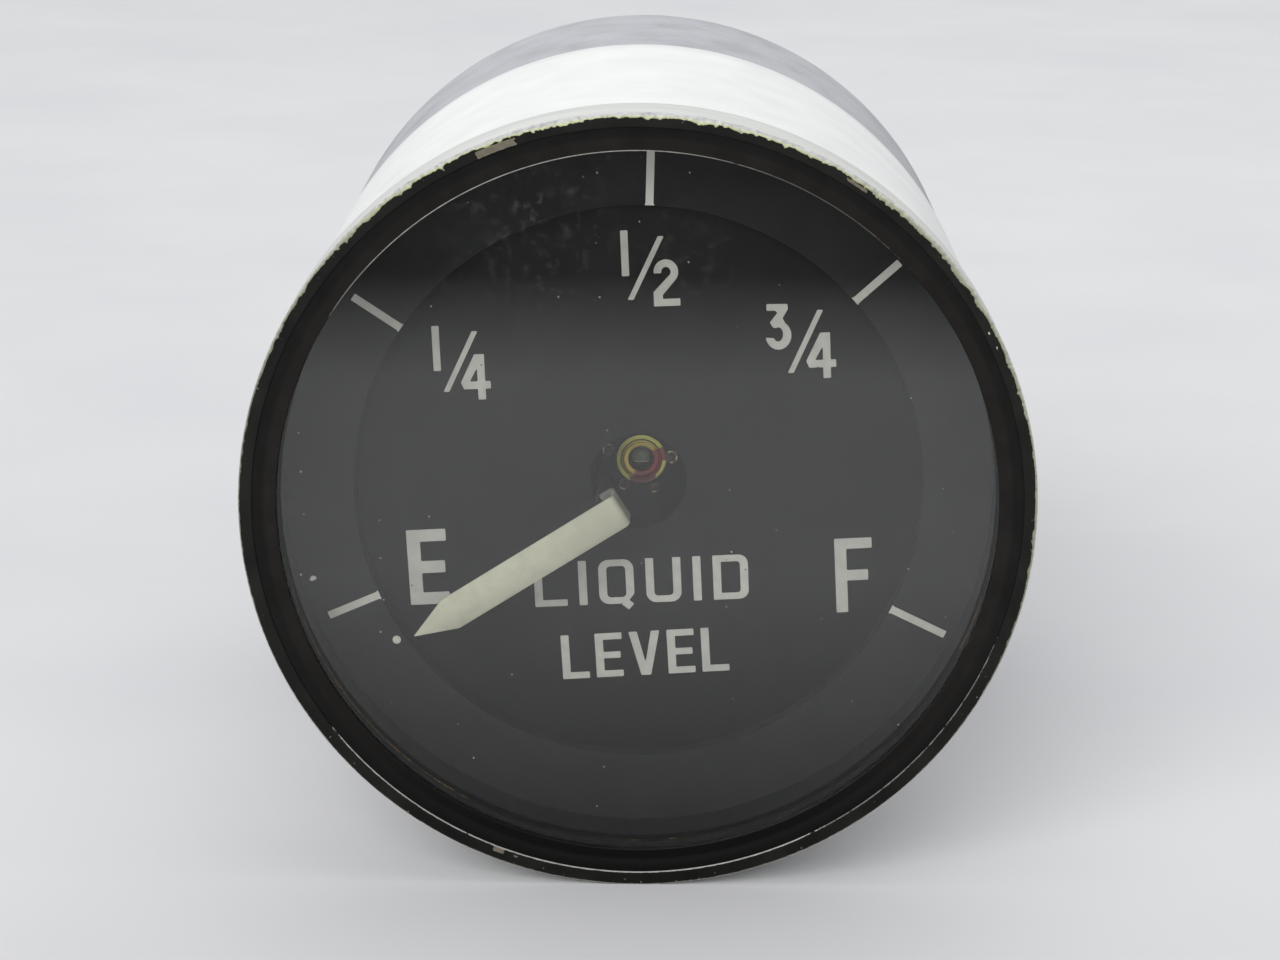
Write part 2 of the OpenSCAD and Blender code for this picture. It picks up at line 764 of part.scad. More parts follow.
// Drawn cup, open to the front, pierced at the rear
module case_shell() color([0.55, 0.56, 0.58])
    difference() {
        at_depth(0)
            rotate_extrude() {
                polygon([
                    [0, bezel_depth + seat],
                    [case_r, bezel_depth + seat],
                    [case_r, case_depth - case_edge_r],
                    [case_r - case_edge_r, case_depth - case_edge_r],
                    [case_r - case_edge_r, case_depth],
                    [0, case_depth]
                ]);
                translate([case_r - case_edge_r, case_depth - case_edge_r])
                    circle(r = case_edge_r);
            }
        disc(case_bore_r, bezel_depth - past, case_inside - bezel_depth + past);
        disc(body_r + fit, case_inside - past, case_back_t + 2 * past);
        post_holes(screw_d / 2 + fit, case_inside - past, case_back_t + 2 * past);
        flange_screw_set()
            disc(flange_screw_d / 2 + fit, case_inside - past, case_back_t + 2 * past, small_fn);
    }

module label_band() color([0.92, 0.92, 0.90])
    ring(case_r + label_t, case_r + seat, bezel_depth + 2 * seat, label_end - bezel_depth);

module case_screws() color([0.70, 0.71, 0.72])
    for (angle = post_angles)
        polar(angle, post_circle_r)
            rear_screw(case_depth, case_screw_head, case_screw_head_t, screw_d,
                case_back_t + screw_reach);

module flange_screw_set() {
    for (x = [-1, 1], z = [-1, 1])
        translate([x * flange_screw_pitch / 2, 0, z * flange_screw_pitch / 2])
            children();
}

module flange_plate(depth, thickness) {
    corner = flange_corner_r;
    at_depth(depth)
        linear_extrude(height = thickness)
            difference() {
                square(flange_w, center = true);
                for (a = [0 : 90 : 270])
                    rotate(a)
                        translate([flange_w / 2 - corner, flange_w / 2 - corner])
                            difference() {
                                square(corner * 2);
                                circle(r = corner, $fn = small_fn);
                            }
            }
}

module receptacle_gasket() color([0.10, 0.10, 0.10])
    difference() {
        flange_plate(case_depth + seat, gasket_flange_t - 2 * seat);
        disc(body_r + fit, case_depth - past, gasket_flange_t + 2 * past);
        flange_screw_set()
            disc(flange_screw_d / 2 + fit, case_depth - past, gasket_flange_t + 2 * past, small_fn);
    }

// Box receptacle: square flange, grooved barrel outside, body inside the case
module receptacle_shell() color([0.58, 0.58, 0.52])
    difference() {
        union() {
            flange_plate(flange_front, flange_t);
            disc(body_r, insert_front, flange_front - insert_front + flange_t / 2);
            disc(barrel_r, flange_back - flange_t / 2, barrel_l + flange_t / 2);
        }
        disc(socket_r, insert_front - past, barrel_end - insert_front + 2 * past);
        flange_screw_set()
            disc(flange_screw_d / 2 + fit, flange_front - past, flange_t + 2 * past, small_fn);
        ring(barrel_r + past, barrel_r - groove_depth, flange_back + groove_set, groove_w);
    }

module receptacle_insert() color([0.14, 0.14, 0.15])
    difference() {
        disc(socket_r - seat, insert_front + insert_set, insert_rear - insert_front - insert_set);
        for (angle = contact_angles)
            polar(angle, contact_r)
                disc(contact_body_d / 2 + seat, insert_front - past,
                    insert_rear - insert_front + 2 * past, small_fn);
    }

// Each contact has a solder cup, a body held by the insert and a bare pin
module contact_pins() color([0.80, 0.70, 0.40])
    for (angle = contact_angles)
        polar(angle, contact_r)
            difference() {
                turned([
                    [0, contact_front],
                    [contact_body_d / 2, contact_front],
                    [contact_body_d / 2, insert_rear],
                    [contact_d / 2, insert_rear],
                    [contact_d / 2, barrel_end - contact_recess - contact_tip],
                    [contact_tip_r, barrel_end - contact_recess],
                    [0, barrel_end - contact_recess]
                ], small_fn);
                disc(cup_r, contact_front - past, cup_l + past, small_fn);
            }

module flange_screws() color([0.72, 0.72, 0.72])
    flange_screw_set()
        rear_screw(flange_back, flange_head_d, flange_head_t, flange_screw_d,
            flange_back - case_inside + flange_screw_past);

bezel_ring();
lens_retainer();
cover_glass();
glass_gasket();
dial_spacer();
scale_ring();
dial_plate();
dial_screws();
dial_support();
front_posts();
pointer();
pointer_arm();
staff();
rotor_magnet();
balance_weight();
front_bridge();
bridge_screw();
front_jewel_screw();
front_jewel();
jewel_locknut();
terminal_pins();
movement_plate();
former_front_half();
former_rear_half();
winding_a();
winding_b();
pull_off_magnet();
shield_can();
rear_jewel_screw();
mid_posts();
circuit_board();
resistors();
trimmers();
rear_posts();
case_shell();
label_band();
case_screws();
receptacle_gasket();
receptacle_shell();
receptacle_insert();
contact_pins();
flange_screws();
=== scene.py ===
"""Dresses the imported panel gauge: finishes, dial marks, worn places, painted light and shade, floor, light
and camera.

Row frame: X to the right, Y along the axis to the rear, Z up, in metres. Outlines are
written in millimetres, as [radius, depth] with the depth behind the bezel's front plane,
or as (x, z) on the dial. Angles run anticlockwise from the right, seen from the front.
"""
import math

import bmesh
import bpy
from mathutils import Matrix, Vector, noise
from mathutils.geometry import tessellate_polygon


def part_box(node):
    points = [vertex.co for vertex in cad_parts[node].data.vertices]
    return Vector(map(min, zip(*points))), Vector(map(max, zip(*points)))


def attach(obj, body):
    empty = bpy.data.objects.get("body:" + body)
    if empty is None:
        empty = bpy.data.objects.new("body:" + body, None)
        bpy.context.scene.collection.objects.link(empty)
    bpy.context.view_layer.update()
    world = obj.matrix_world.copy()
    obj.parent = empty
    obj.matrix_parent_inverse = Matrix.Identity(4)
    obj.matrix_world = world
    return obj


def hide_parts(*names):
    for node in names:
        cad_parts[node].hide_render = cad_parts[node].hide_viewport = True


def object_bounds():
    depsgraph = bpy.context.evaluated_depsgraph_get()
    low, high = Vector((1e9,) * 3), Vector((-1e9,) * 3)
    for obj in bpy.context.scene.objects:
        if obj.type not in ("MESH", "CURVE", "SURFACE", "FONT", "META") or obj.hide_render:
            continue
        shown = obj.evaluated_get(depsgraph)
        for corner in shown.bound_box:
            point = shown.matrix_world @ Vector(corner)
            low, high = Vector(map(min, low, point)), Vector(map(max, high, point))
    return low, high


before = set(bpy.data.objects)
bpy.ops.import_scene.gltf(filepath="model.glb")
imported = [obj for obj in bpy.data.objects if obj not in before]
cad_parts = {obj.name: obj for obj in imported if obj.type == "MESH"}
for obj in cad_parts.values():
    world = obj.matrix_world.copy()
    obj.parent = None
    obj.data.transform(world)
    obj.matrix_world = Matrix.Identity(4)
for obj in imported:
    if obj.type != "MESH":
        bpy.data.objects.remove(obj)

MM = 0.001
CAD_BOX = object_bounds()
FRONT_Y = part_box("bezel_ring")[0].y


# Measures from the frame

def outer_r(node):
    """Outer radius of a round CAD node, in mm."""
    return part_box(node)[1].x / MM


def depths(node):
    """Depths of a node's foremost and rearmost points behind the bezel's front plane, in mm."""
    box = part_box(node)
    return (box[0].y - FRONT_Y) / MM, (box[1].y - FRONT_Y) / MM


def front_depth(node):
    return depths(node)[0]


def rear_depth(node):
    return depths(node)[1]


BEZEL_R = outer_r("bezel_ring")
BEZEL_EDGE = 0.97
BEZEL_BORE_R = BEZEL_R - BEZEL_EDGE
BEZEL_BAND = 5.04
RETAINER_W = 1.72
OPENING_R = BEZEL_BORE_R - RETAINER_W
SHOULDER_BORE_R = OPENING_R + 0.13
SCALE_BORE_R = OPENING_R - 4.94
DIAL_HOLE_R = 3.6
REST_ANGLE = 212.6
POINTER_W = 2.5
POINTER_T = 0.3
POINTER_ROOT = 1.55
POINTER_BEND_R = 0.45
POINTER_TAPER = 3.16
POINTER_SHIFT = (0.145, -0.228)
HUB = (0.15, 0.0)
PAINT_T = 0.02


# Points and meshes

def place(x, depth, z):
    """A point of the row frame from millimetres and a depth."""
    return Vector((x * MM, FRONT_Y + depth * MM, z * MM))


def polar(radius, angle):
    """(x, z) of a point at a radius and an angle in degrees."""
    turn = math.radians(angle)
    return radius * math.cos(turn), radius * math.sin(turn)


def rounded(points, radius, steps=4):
    """A closed outline whose corners become arcs of about that radius."""
    made = []
    for i, point in enumerate(points):
        corner = Vector(point)
        back = Vector(points[i - 1]) - corner
        ahead = Vector(points[(i + 1) % len(points)]) - corner
        bend = back.angle(ahead, math.pi)
        if bend > math.radians(165):
            made.append(tuple(corner))
            continue
        reach = min(radius / math.tan(bend / 2), back.length * 0.45, ahead.length * 0.45)
        start = corner + back.normalized() * reach
        end = corner + ahead.normalized() * reach
        for k in range(steps + 1):
            t = k / steps
            made.append(tuple(start * (1 - t) ** 2 + corner * (2 * t * (1 - t)) + end * t ** 2))
    return made


def ellipse(cx, cy, a, b, start, end, steps=14):
    """Points along part of an ellipse, with angles in degrees."""
    return [
        (cx + a * math.cos(math.radians(t)), cy + b * math.sin(math.radians(t)))
        for t in (start + (end - start) * k / steps for k in range(steps + 1))
    ]


def circle(cx, cy, radius, steps=24):
    """A closed circle, without its last point repeated."""
    return ellipse(cx, cy, radius, radius, 0, 360, steps)[:-1]


def add_object(name, data):
    """A new object in the scene."""
    made = bpy.data.objects.new(name, data)
    bpy.context.scene.collection.objects.link(made)
    return made


def mesh_piece(name, vertices, faces, material, smooth_angle=35):
    """A mesh object with its faces turned outwards, smooth but for sharp edges."""
    mesh = bpy.data.meshes.new(name)
    mesh.from_pydata([tuple(v) for v in vertices], [], faces)
    work = bmesh.new()
    work.from_mesh(mesh)
    bmesh.ops.remove_doubles(work, verts=work.verts, dist=1e-8)
    bmesh.ops.recalc_face_normals(work, faces=work.faces)
    work.to_mesh(mesh)
    work.free()
    mesh.polygons.foreach_set("use_smooth", [True] * len(mesh.polygons))
    mesh.set_sharp_from_angle(angle=math.radians(smooth_angle))
    mesh.materials.append(material)
    return add_object(name, mesh)


def turned(outline, turn, centre):
    """An outline of [radius, depth], turned about a centre by an angle in radians."""
    cosine = math.cos(turn)
    sine = math.sin(turn)
    return [place(centre[0] + r * cosine, d, centre[1] + r * sine) for r, d in outline]


def skin(rows, count, closed):
    """Faces between rows of points, and from the last row to the first where closed."""
    faces = []
    for i in range(rows if closed else rows - 1):
        here = i * count
        there = (i + 1) % rows * count
        for k in range(count):
            k2 = (k + 1) % count
            faces.append((here + k, here + k2, there + k2, there + k))
    return faces


def lathe(name, outline, material, steps, centre=(0, 0), shift=None):
    """Turns a closed outline of [radius, depth] about the axis, or about centre."""
    vertices = []
    for i in range(steps):
        turn = 2 * math.pi * i / steps
        section = [shift(r, d, turn) for r, d in outline] if shift else outline
        vertices += turned(section, turn, centre)
    return mesh_piece(name, vertices, skin(steps, len(outline), True), material)


def solid_disc(name, outline, material, steps, centre=(0, 0)):
    """Turns an open outline, whose ends lie on the axis, about it."""
    vertices = [place(centre[0], depth, centre[1]) for _, depth in (outline[0], outline[-1])]
    rim = outline[1:-1]
    count = len(rim)
    faces = []
    for i in range(steps):
        vertices += turned(rim, 2 * math.pi * i / steps, centre)
        here = 2 + i * count
        there = 2 + (i + 1) % steps * count
        faces.append((0, here, there))
        faces.append((1, there + count - 1, here + count - 1))
        for k in range(count - 1):
            faces.append((here + k, here + k + 1, there + k + 1, there + k))
    return mesh_piece(name, vertices, faces, material)


def plate_mesh(outlines, front, thickness):
    """Vertices and faces of a flat plate from an outline of (x, z) and its holes."""
    flat = [[Vector((x, z, 0)) for x, z in outline] for outline in outlines]
    triangles = tessellate_polygon(flat)
    points = [p for outline in flat for p in outline]
    count = len(points)
    vertices = [place(p.x, front, p.y) for p in points]
    vertices += [place(p.x, front + thickness, p.y) for p in points]
    faces = [tuple(t) for t in triangles]
    faces += [tuple(i + count for i in reversed(t)) for t in triangles]
    start = 0
    for outline in flat:
        n = len(outline)
        for k in range(n):
            a = start + k
            b = start + (k + 1) % n
            faces.append((a, b, b + count, a + count))
        start += n
    return vertices, faces


def plates(name, shapes, front, thickness, material):
    """One object from several flat plates, each given as a list of outlines."""
    vertices = []
    faces = []
    for outlines in shapes:
        v, f = plate_mesh(outlines, front, thickness)
        faces += [tuple(i + len(vertices) for i in face) for face in f]
        vertices += v
    return mesh_piece(name, vertices, faces, material)


def dress(piece, body, slot, *nodes):
    """Ties a piece to its body and hides the CAD nodes that it stands for. The slot is not used."""
    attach(piece, body)
    if nodes:
        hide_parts(*nodes)


# Colours and materials

def srgb(red, green, blue):
    """Linear RGBA from a colour as a screen shows it, 0 to 255."""
    def linear(value):
        share = value / 255
        return share / 12.92 if share <= 0.04045 else ((share + 0.055) / 1.055) ** 2.4
    return linear(red), linear(green), linear(blue), 1.0


def grey(value, warm=0):
    """A grey, warmer or cooler by a few steps."""
    return srgb(value, value, value - warm)


class Look:
    """A material whose colour, roughness and relief come from procedural nodes."""

    def __init__(self, name, centre=(0.0, 0.0), specular=0.5, **constants):
        self.material = bpy.data.materials.new(name)
        self.material.use_nodes = True
        self.nodes = self.material.node_tree.nodes
        self.links = self.material.node_tree.links
        self.shader = self.nodes["Principled BSDF"]
        self.shader.inputs["Specular IOR Level"].default_value = specular
        for socket, value in constants.items():
            self.shader.inputs[socket.replace("_", " ")].default_value = value
        source = self.add("ShaderNodeTexCoord").outputs["Object"]
        scaled = self.add("ShaderNodeVectorMath", {"operation": "SCALE"}, i0=source, Scale=1 / MM)
        self.millimetres = scaled.outputs[0]
        parts = self.add("ShaderNodeSeparateXYZ", i0=self.millimetres).outputs
        self.x = self.minus(parts[0], centre[0])
        self.z = self.minus(parts[2], centre[1])
        self.depth = self.plus(parts[1], -FRONT_Y / MM)
        self.radius = self.math("SQRT", self.plus(self.times(self.x, self.x), self.times(self.z, self.z)))

    def add(self, kind, settings=None, **sockets):
        """A new node. Each socket takes a value or another node's output."""
        node = self.nodes.new(kind)
        for key, value in (settings or {}).items():
            setattr(node, key, value)
        for key, value in sockets.items():
            socket = node.inputs[int(key[1:])] if key[1:].isdigit() else node.inputs[key.replace("_", " ")]
            if isinstance(value, bpy.types.NodeSocket):
                self.links.new(value, socket)
            else:
                socket.default_value = value
        return node

    def math(self, operation, a, b=0.0, clamp=False):
        settings = {"operation": operation, "use_clamp": clamp}
        return self.add("ShaderNodeMath", settings, i0=a, i1=b).outputs[0]

    def times(self, first, *others):
        for other in others:
            first = self.math("MULTIPLY", first, other)
        return first

    def plus(self, a, b):
        return self.math("ADD", a, b)

    def minus(self, a, b):
        return self.math("SUBTRACT", a, b)

    def noise(self, scale, detail=4.0, roughness=0.55, vector=None):
        """Noise with that many features per millimetre."""
        vector = vector or self.millimetres
        node = self.add("ShaderNodeTexNoise", Vector=vector, Scale=scale, Detail=detail, Roughness=roughness)
        return node.outputs[0]

    def ramp(self, value, stops):
        """Colours, or greys given as one number, along a value."""
        node = self.add("ShaderNodeValToRGB", Fac=value)
        points = node.color_ramp.elements
        while len(points) < len(stops):
            points.new(0.5)
        for point, (position, colour) in zip(points, stops):
            point.position = position
            point.color = colour if isinstance(colour, tuple) else (colour, colour, colour, 1.0)
        return node.outputs["Color"]

    def step(self, value, low, high):
        """0 at low, 1 at high, straight between them and level beyond them."""
        return self.add("ShaderNodeMapRange", Value=value, From_Min=low, From_Max=high).outputs[0]

    def mix(self, factor, a, b, blend="MIX"):
        node = self.add("ShaderNodeMix", {"data_type": "RGBA", "blend_type": blend}, i0=factor, i6=a, i7=b)
        return node.outputs[2]

    def tones(self, value, tones, low=0.32, high=0.68):
        """Tones spread evenly over the middle of a noise's range."""
        gap = (high - low) / (len(tones) - 1)
        return self.ramp(value, [(low + gap * i, tone) for i, tone in enumerate(tones)])

    def round_vector(self, around, along, out):
        """Coordinates scaled apart round the axis, along it and out from it."""
        cosine = self.times(self.math("DIVIDE", self.x, self.radius), around)
        sine = self.times(self.math("DIVIDE", self.z, self.radius), around)
        third = self.plus(self.times(self.depth, along), self.times(self.radius, out))
        return self.add("ShaderNodeCombineXYZ", i0=cosine, i1=sine, i2=third).outputs[0]

    def near(self, x, depth, z, reach):
        """1 at a point, falling to 0 at a reach in mm from it."""
        point = (x, FRONT_Y / MM + depth, z)
        settings = {"operation": "DISTANCE"}
        away = self.add("ShaderNodeVectorMath", settings, i0=self.millimetres, i1=point).outputs["Value"]
        return self.math("SUBTRACT", 1.0, self.math("DIVIDE", away, reach), clamp=True)

    def specks(self, cell, size, share):
        """Round specks on a surface that faces front, at most one in each cell."""
        flat = self.add("ShaderNodeCombineXYZ", i0=self.x, i1=self.z).outputs[0]
        settings = {"voronoi_dimensions": "2D"}
        cells = self.add("ShaderNodeTexVoronoi", settings, Vector=flat, Scale=1 / cell).outputs
        chance = self.add("ShaderNodeSeparateXYZ", i0=cells["Color"]).outputs
        chosen = self.math("LESS_THAN", chance[0], share)
        edge = self.times(self.plus(chance[1], 0.5), size / cell / 1.5)
        return self.times(chosen, self.math("LESS_THAN", cells["Distance"], edge))

    def tear(self, scale, detail, reach):
        """Noise about 0, for an edge that is torn."""
        return self.times(self.minus(self.noise(scale, detail), 0.5), reach)

    def worn(self, painted):
        """Paint that gives way, with a torn edge, to the tone stored on the vertices: worn places and, on
        some pieces, painted highlight.
        """
        stored = self.add("ShaderNodeAttribute", {"attribute_name": "wear_and_highlight"}).outputs
        bare = self.ramp(self.plus(stored["Alpha"], self.tear(4.5, 4.0, 0.8)), [(0.44, 0.0), (0.52, 1.0)])
        mottle = self.ramp(self.noise(2.4, 5.0, 0.65), [(0.34, 0.66), (0.5, 0.9), (0.62, 1.0)])
        return self.mix(bare, painted, self.mix(1.0, stored["Color"], mottle, "MULTIPLY"))

    def colour(self, value):
        self.links.new(value, self.shader.inputs["Base Color"])

    def rough(self, value, low, high):
        node = self.add("ShaderNodeMapRange", Value=value, To_Min=low, To_Max=high)
        self.links.new(node.outputs[0], self.shader.inputs["Roughness"])

    def relief(self, height, strength, distance):
        """Bump from a height, with its distance in mm."""
        node = self.add("ShaderNodeBump", Strength=strength, Distance=distance * MM, Height=height)
        self.links.new(node.outputs[0], self.shader.inputs["Normal"])

    def surface(self, rough, bump=None):
        """Roughness and relief from noise, each as a scale, a detail and two amounts."""
        self.rough(self.noise(*rough[:2]), *rough[2:])
        if bump:
            self.relief(self.noise(*bump[:2]), *bump[2:])


def speckled(name, tones, scale, rough, bump, grain=4.0, **constants):
    """A plain finish: two or three tones mottled at a scale, with a fine grain."""
    look = Look(name, **constants)
    look.colour(look.tones(look.noise(scale, 6.0, 0.6), tones))
    look.surface((scale * 1.7, 5.0, *rough), (grain, 3.0, bump, 0.02))
    return look.material


def turned_metal(name, tones, rough):
    """Metal with fine rings round the gauge's axis, clouded by handling."""
    look = Look(name, Metallic=1.0)
    rings = look.noise(1.0, 3.0, 0.6, look.round_vector(3.0, 22.0, 22.0))
    cloud = look.noise(0.8, 4.0)
    value = look.plus(look.times(rings, 0.6), look.times(cloud, 0.4))
    look.colour(look.tones(value, tones, 0.35, 0.65))
    look.rough(rings, *rough)
    look.relief(rings, 0.15, 0.01)
    return look.material


# Camera, first

def make_camera():
    """The photograph's camera, fitted to the bezel, the case and the dial's ticks."""
    position = Vector((1.68, -221.88, 60.624)) * MM
    forward = Vector((-0.0067418, 0.96567606, -0.25966188))
    up = Vector((-0.00704858, 0.25961544, 0.96568636))
    focal_px = 3160.0
    image_w = 1280.0
    data = bpy.data.cameras.new("camera")
    data.sensor_width = 36.0
    data.lens = focal_px / image_w * data.sensor_width
    data.clip_start = 0.01
    data.clip_end = 20.0
    camera = add_object("camera", data)
    right = forward.cross(up).normalized()
    up = right.cross(forward).normalized()
    turn = Matrix((right, up, -forward)).transposed()
    camera.matrix_world = Matrix.Translation(position) @ turn.to_4x4()
    bpy.context.scene.camera = camera


# Worn places and painted highlight, as an amount and a tone on each vertex

def ragged(turn, frequency, seed, octaves=4):
    """Smooth noise round the bezel, about -1 to 1."""
    point = Vector((math.cos(turn), math.sin(turn), seed)) * frequency
    return noise.fractal(point, 0.9, 2.1, octaves)


def window(angle, centre, half_width):
    """1 at centre, falling to 0 at half_width degrees from it."""
    away = abs((angle - centre + 180) % 360 - 180)
    return max(0.0, 1 - away / half_width)


def mark_wear_and_highlight(piece, rule):
    """Stores on each vertex the tone and the amount that a rule gives there."""
    mesh = piece.data
    stored = mesh.attributes.new("wear_and_highlight", "FLOAT_COLOR", "POINT")
    values = []
    for vertex in mesh.vertices:
        x, z = vertex.co.x / MM, vertex.co.z / MM
        depth = (vertex.co.y - FRONT_Y) / MM
        amount, tone = rule(math.hypot(x, z), depth, math.degrees(math.atan2(z, x)) % 360)
        values += [tone[0], tone[1], tone[2], max(0.0, min(1.0, amount))]
    stored.data.foreach_set("color", values)


# Bezel

# Angle, and the width of the worn edge there in mm
EDGE_WEAR = (
    (0, 0.28), (8, 0.16), (16, 0.24), (22, 0.36), (56, 0.48), (61, 0.30), (67, 0.42), (90, 0.42), (93, 0.32),
    (104, 0.42), (116, 0.30), (136, 0.42), (141, 0.24), (160, 0.20), (180, 0.10), (230, 0.06), (320, 0.06),
    (346, 0.16), (360, 0.28),
)
# Tones of the worn front edge, with painted light: lightest on top, darker on the flanks and low down.
WEAR_LIT_TOP = srgb(214, 218, 166)
WEAR_HALF_LIT = srgb(158, 163, 132)
WEAR_SHADED_LOW = srgb(108, 112, 90)


def blend(first, second, share):
    return [a + (b - a) * share for a, b in zip(first, second)]


def edge_wear_and_light(angle):
    """Width of the worn front edge at an angle, most of it on top, and its tone, painted lighter on top and
    darker low down.
    """
    for low, high in zip(EDGE_WEAR, EDGE_WEAR[1:]):
        if angle <= high[0]:
            width = low[1] + (high[1] - low[1]) * (angle - low[0]) / (high[0] - low[0])
            break
    tone = blend(WEAR_SHADED_LOW, WEAR_HALF_LIT, min(1.0, 3 * window(angle, 70, 100)))
    return width, blend(tone, WEAR_LIT_TOP, min(1.0, 2 * window(angle, 92, 44)))


def chip_size(turn):
    """How far the bezel's front edge is broken away, in mm."""
    bites = max(0.0, ragged(turn, 22, 3.1) + 0.05)
    fine = max(0.0, ragged(turn, 75, 7.7, 4))
    return edge_wear_and_light(math.degrees(turn) % 360)[0] * (0.58 + 0.5 * bites + 0.6 * fine)


def chipped(radius, depth, turn):
    """Cuts the bezel's front edge back to a slope where it is chipped."""
    size = chip_size(turn) * 0.8
    into = (BEZEL_R - radius) + depth
    if radius < BEZEL_BORE_R + 0.05 or into >= size:
        return radius, depth
    push = (size - into) / 2
    return radius - push, depth + push


SIDE_GREY = grey(212)
BARE_CHIP = srgb(116, 110, 94)
BRIGHT_CHIP = srgb(186, 188, 162)
# Angle, half width in degrees, inner and outer radius, tone
FACE_CHIPS = (
    (110.9, 2.9, 27.58, 28.12, BARE_CHIP),
    (248.8, 0.9, 27.62, 27.98, BARE_CHIP),
    (251.5, 0.35, 27.75, 27.9, BARE_CHIP),
    (57.3, 1.7, 27.88, 28.10, BARE_CHIP),
    (28.2, 0.25, 27.84, 27.96, BRIGHT_CHIP),
    (25.6, 0.3, 27.86, 28.0, BRIGHT_CHIP),
    (118.9, 0.14, 27.88, 27.99, BRIGHT_CHIP),
)
# Angle and half width of the places where the shoulder's brass shows
BRASS_PLACES = ((217, 34), (340, 6), (270, 1.0), (276, 0.8))


def bezel_wear_and_highlight(radius, depth, angle):
    """Worn places along the front edge, whose tone holds painted light, on the shoulder and in the chips,
    and a painted highlight along the bore's edge.
    """
    turn = math.radians(angle)
    if radius < BEZEL_BORE_R - 0.5:
        brass = max(window(angle, *part) for part in BRASS_PLACES)
        torn = 0.8 + 0.6 * ragged(turn, 40, 5.3, 3)
        return min(0.52, brass * 2 * torn) * (depth < 3.2), srgb(136, 112, 66)
    # Painted highlight, with some wear: a pale line along the bore's edge, strongest low down, where the
    # bore's wall catches the light.
    if radius < BEZEL_BORE_R + 0.05 and depth < 0.2:
        torn = 1.0 + 0.4 * ragged(turn, 50, 9.1, 3)
        if angle < 300:
            return min(0.85, 4 * window(angle, 258, 46)) * torn, grey(186, 4)
        return min(0.62, 3 * window(angle, 314, 30)) * torn, grey(136, 4)
    for centre, half, low, high, chip_tone in FACE_CHIPS:
        edge = 0.03 * ragged(turn, 60, centre, 2)
        inside = min(radius - low - edge, high - radius + edge, 0.1)
        if window(angle, centre, half) > 0 and inside > 0 and depth < 0.3:
            return 0.62 + inside * 3, chip_tone
    reach = chip_size(turn) + 0.03
    into = (BEZEL_R - radius) + depth
    amount = 0.5 + (reach - into) / 0.13
    inward = min(1.0, max(0.0, (BEZEL_R - radius) / reach))
    start = 0.05 + 0.30 * min(1.0, 3 * window(angle, 91, 40))
    share = min(0.9, max(0.0, inward - start) / 0.5)
    mottle = 1.0 - 0.35 * inward ** 4 + 0.22 * ragged(turn, 110, radius * 0.2, 2)
    tone = edge_wear_and_light(angle)[1]
    return amount, [(0.82 * SIDE_GREY[0] * (1 - share) + part * share) * mottle for part in tone]


def bezel_finish():
    """Satin black on the face, matt grey on the side, each worn at its edges, with painted light on those
    edges and a painted highlight at the bore.
    """
    look = Look("bezel_paint", specular=0.2)
    black = look.tones(look.noise(0.35, 5.0), [srgb(14, 14, 13), srgb(28, 27, 24)])
    flecks = look.times(look.specks(0.9, 0.07, 0.5), look.step(look.radius, BEZEL_R - 0.6, BEZEL_R - 0.1))
    black = look.mix(flecks, black, srgb(128, 128, 112))
    streaks = look.noise(1.0, 5.0, 0.6, look.round_vector(2.2, 7.0, 0.0))
    side = look.tones(streaks, [srgb(190, 191, 188), srgb(206, 207, 203), srgb(220, 221, 216),
                                srgb(234, 235, 229)], 0.30, 0.76)
    outer = look.step(look.radius, BEZEL_R - 0.5, BEZEL_R - 0.4)
    on_side = look.times(look.step(look.depth, 0.16, 0.22), outer)
    look.colour(look.worn(look.mix(on_side, black, side)))
    look.surface((1.2, 4.0, 0.36, 0.52), (2.0, 2.0, 0.15, 0.02))
    return look.material


def make_bezel():
    """The bezel with its shoulder and skirt, its front edge chipped all round."""
    radius_steps = [BEZEL_BORE_R + 0.10 + (BEZEL_EDGE - 0.17) * k / 11 for k in range(12)]
    depth_steps = [0.06, 0.11, 0.17, 0.23, 0.3, 0.4, 0.52, 0.7, 1.0, 1.5]
    skirt_outer = BEZEL_R - 1.38
    skirt_inner = BEZEL_R - 1.98
    shoulder_front = rear_depth("glass_gasket")
    shoulder_rear = front_depth("dial_spacer")
    outline = [(BEZEL_BORE_R, 0.08), (BEZEL_BORE_R + 0.02, 0.02)]
    outline += [(r, 0.0) for r in radius_steps]
    outline += [(BEZEL_R - 0.015, 0.015)]
    outline += [(BEZEL_R, d) for d in depth_steps]
    outline += [(BEZEL_R, BEZEL_BAND - 0.12), (BEZEL_R - 0.04, BEZEL_BAND - 0.03)]
    outline += [(BEZEL_R - 0.12, BEZEL_BAND), (skirt_outer, BEZEL_BAND)]
    outline += [(skirt_outer, rear_depth("bezel_ring"))]
    outline += [(skirt_inner, rear_depth("bezel_ring")), (skirt_inner, shoulder_rear)]
    outline += [(SHOULDER_BORE_R, shoulder_rear), (SHOULDER_BORE_R, shoulder_front + 0.1)]
    outline += [(SHOULDER_BORE_R, shoulder_front), (SHOULDER_BORE_R + 0.08, shoulder_front)]
    outline += [(BEZEL_BORE_R, shoulder_front)]
    piece = lathe("bezel", outline, bezel_finish(), 1440, shift=chipped)
    mark_wear_and_highlight(piece, bezel_wear_and_highlight)
    dress(piece, "root", "bezel_paint", "bezel_ring")


# Retainer and glass

def retainer_highlight(radius, depth, angle):
    """Painted highlight: a bright line at the opening's edge, dim to the right and absent below."""
    line = radius < OPENING_R + 0.09 and depth < 0.9
    lit = min(1.0, 1.8 * window(angle, 110, 46))
    bright = max(lit, 0.6 * window(angle, 64, 40))
    return min(0.95, bright * 1.3) * line, grey(100 + 76 * lit, 8)


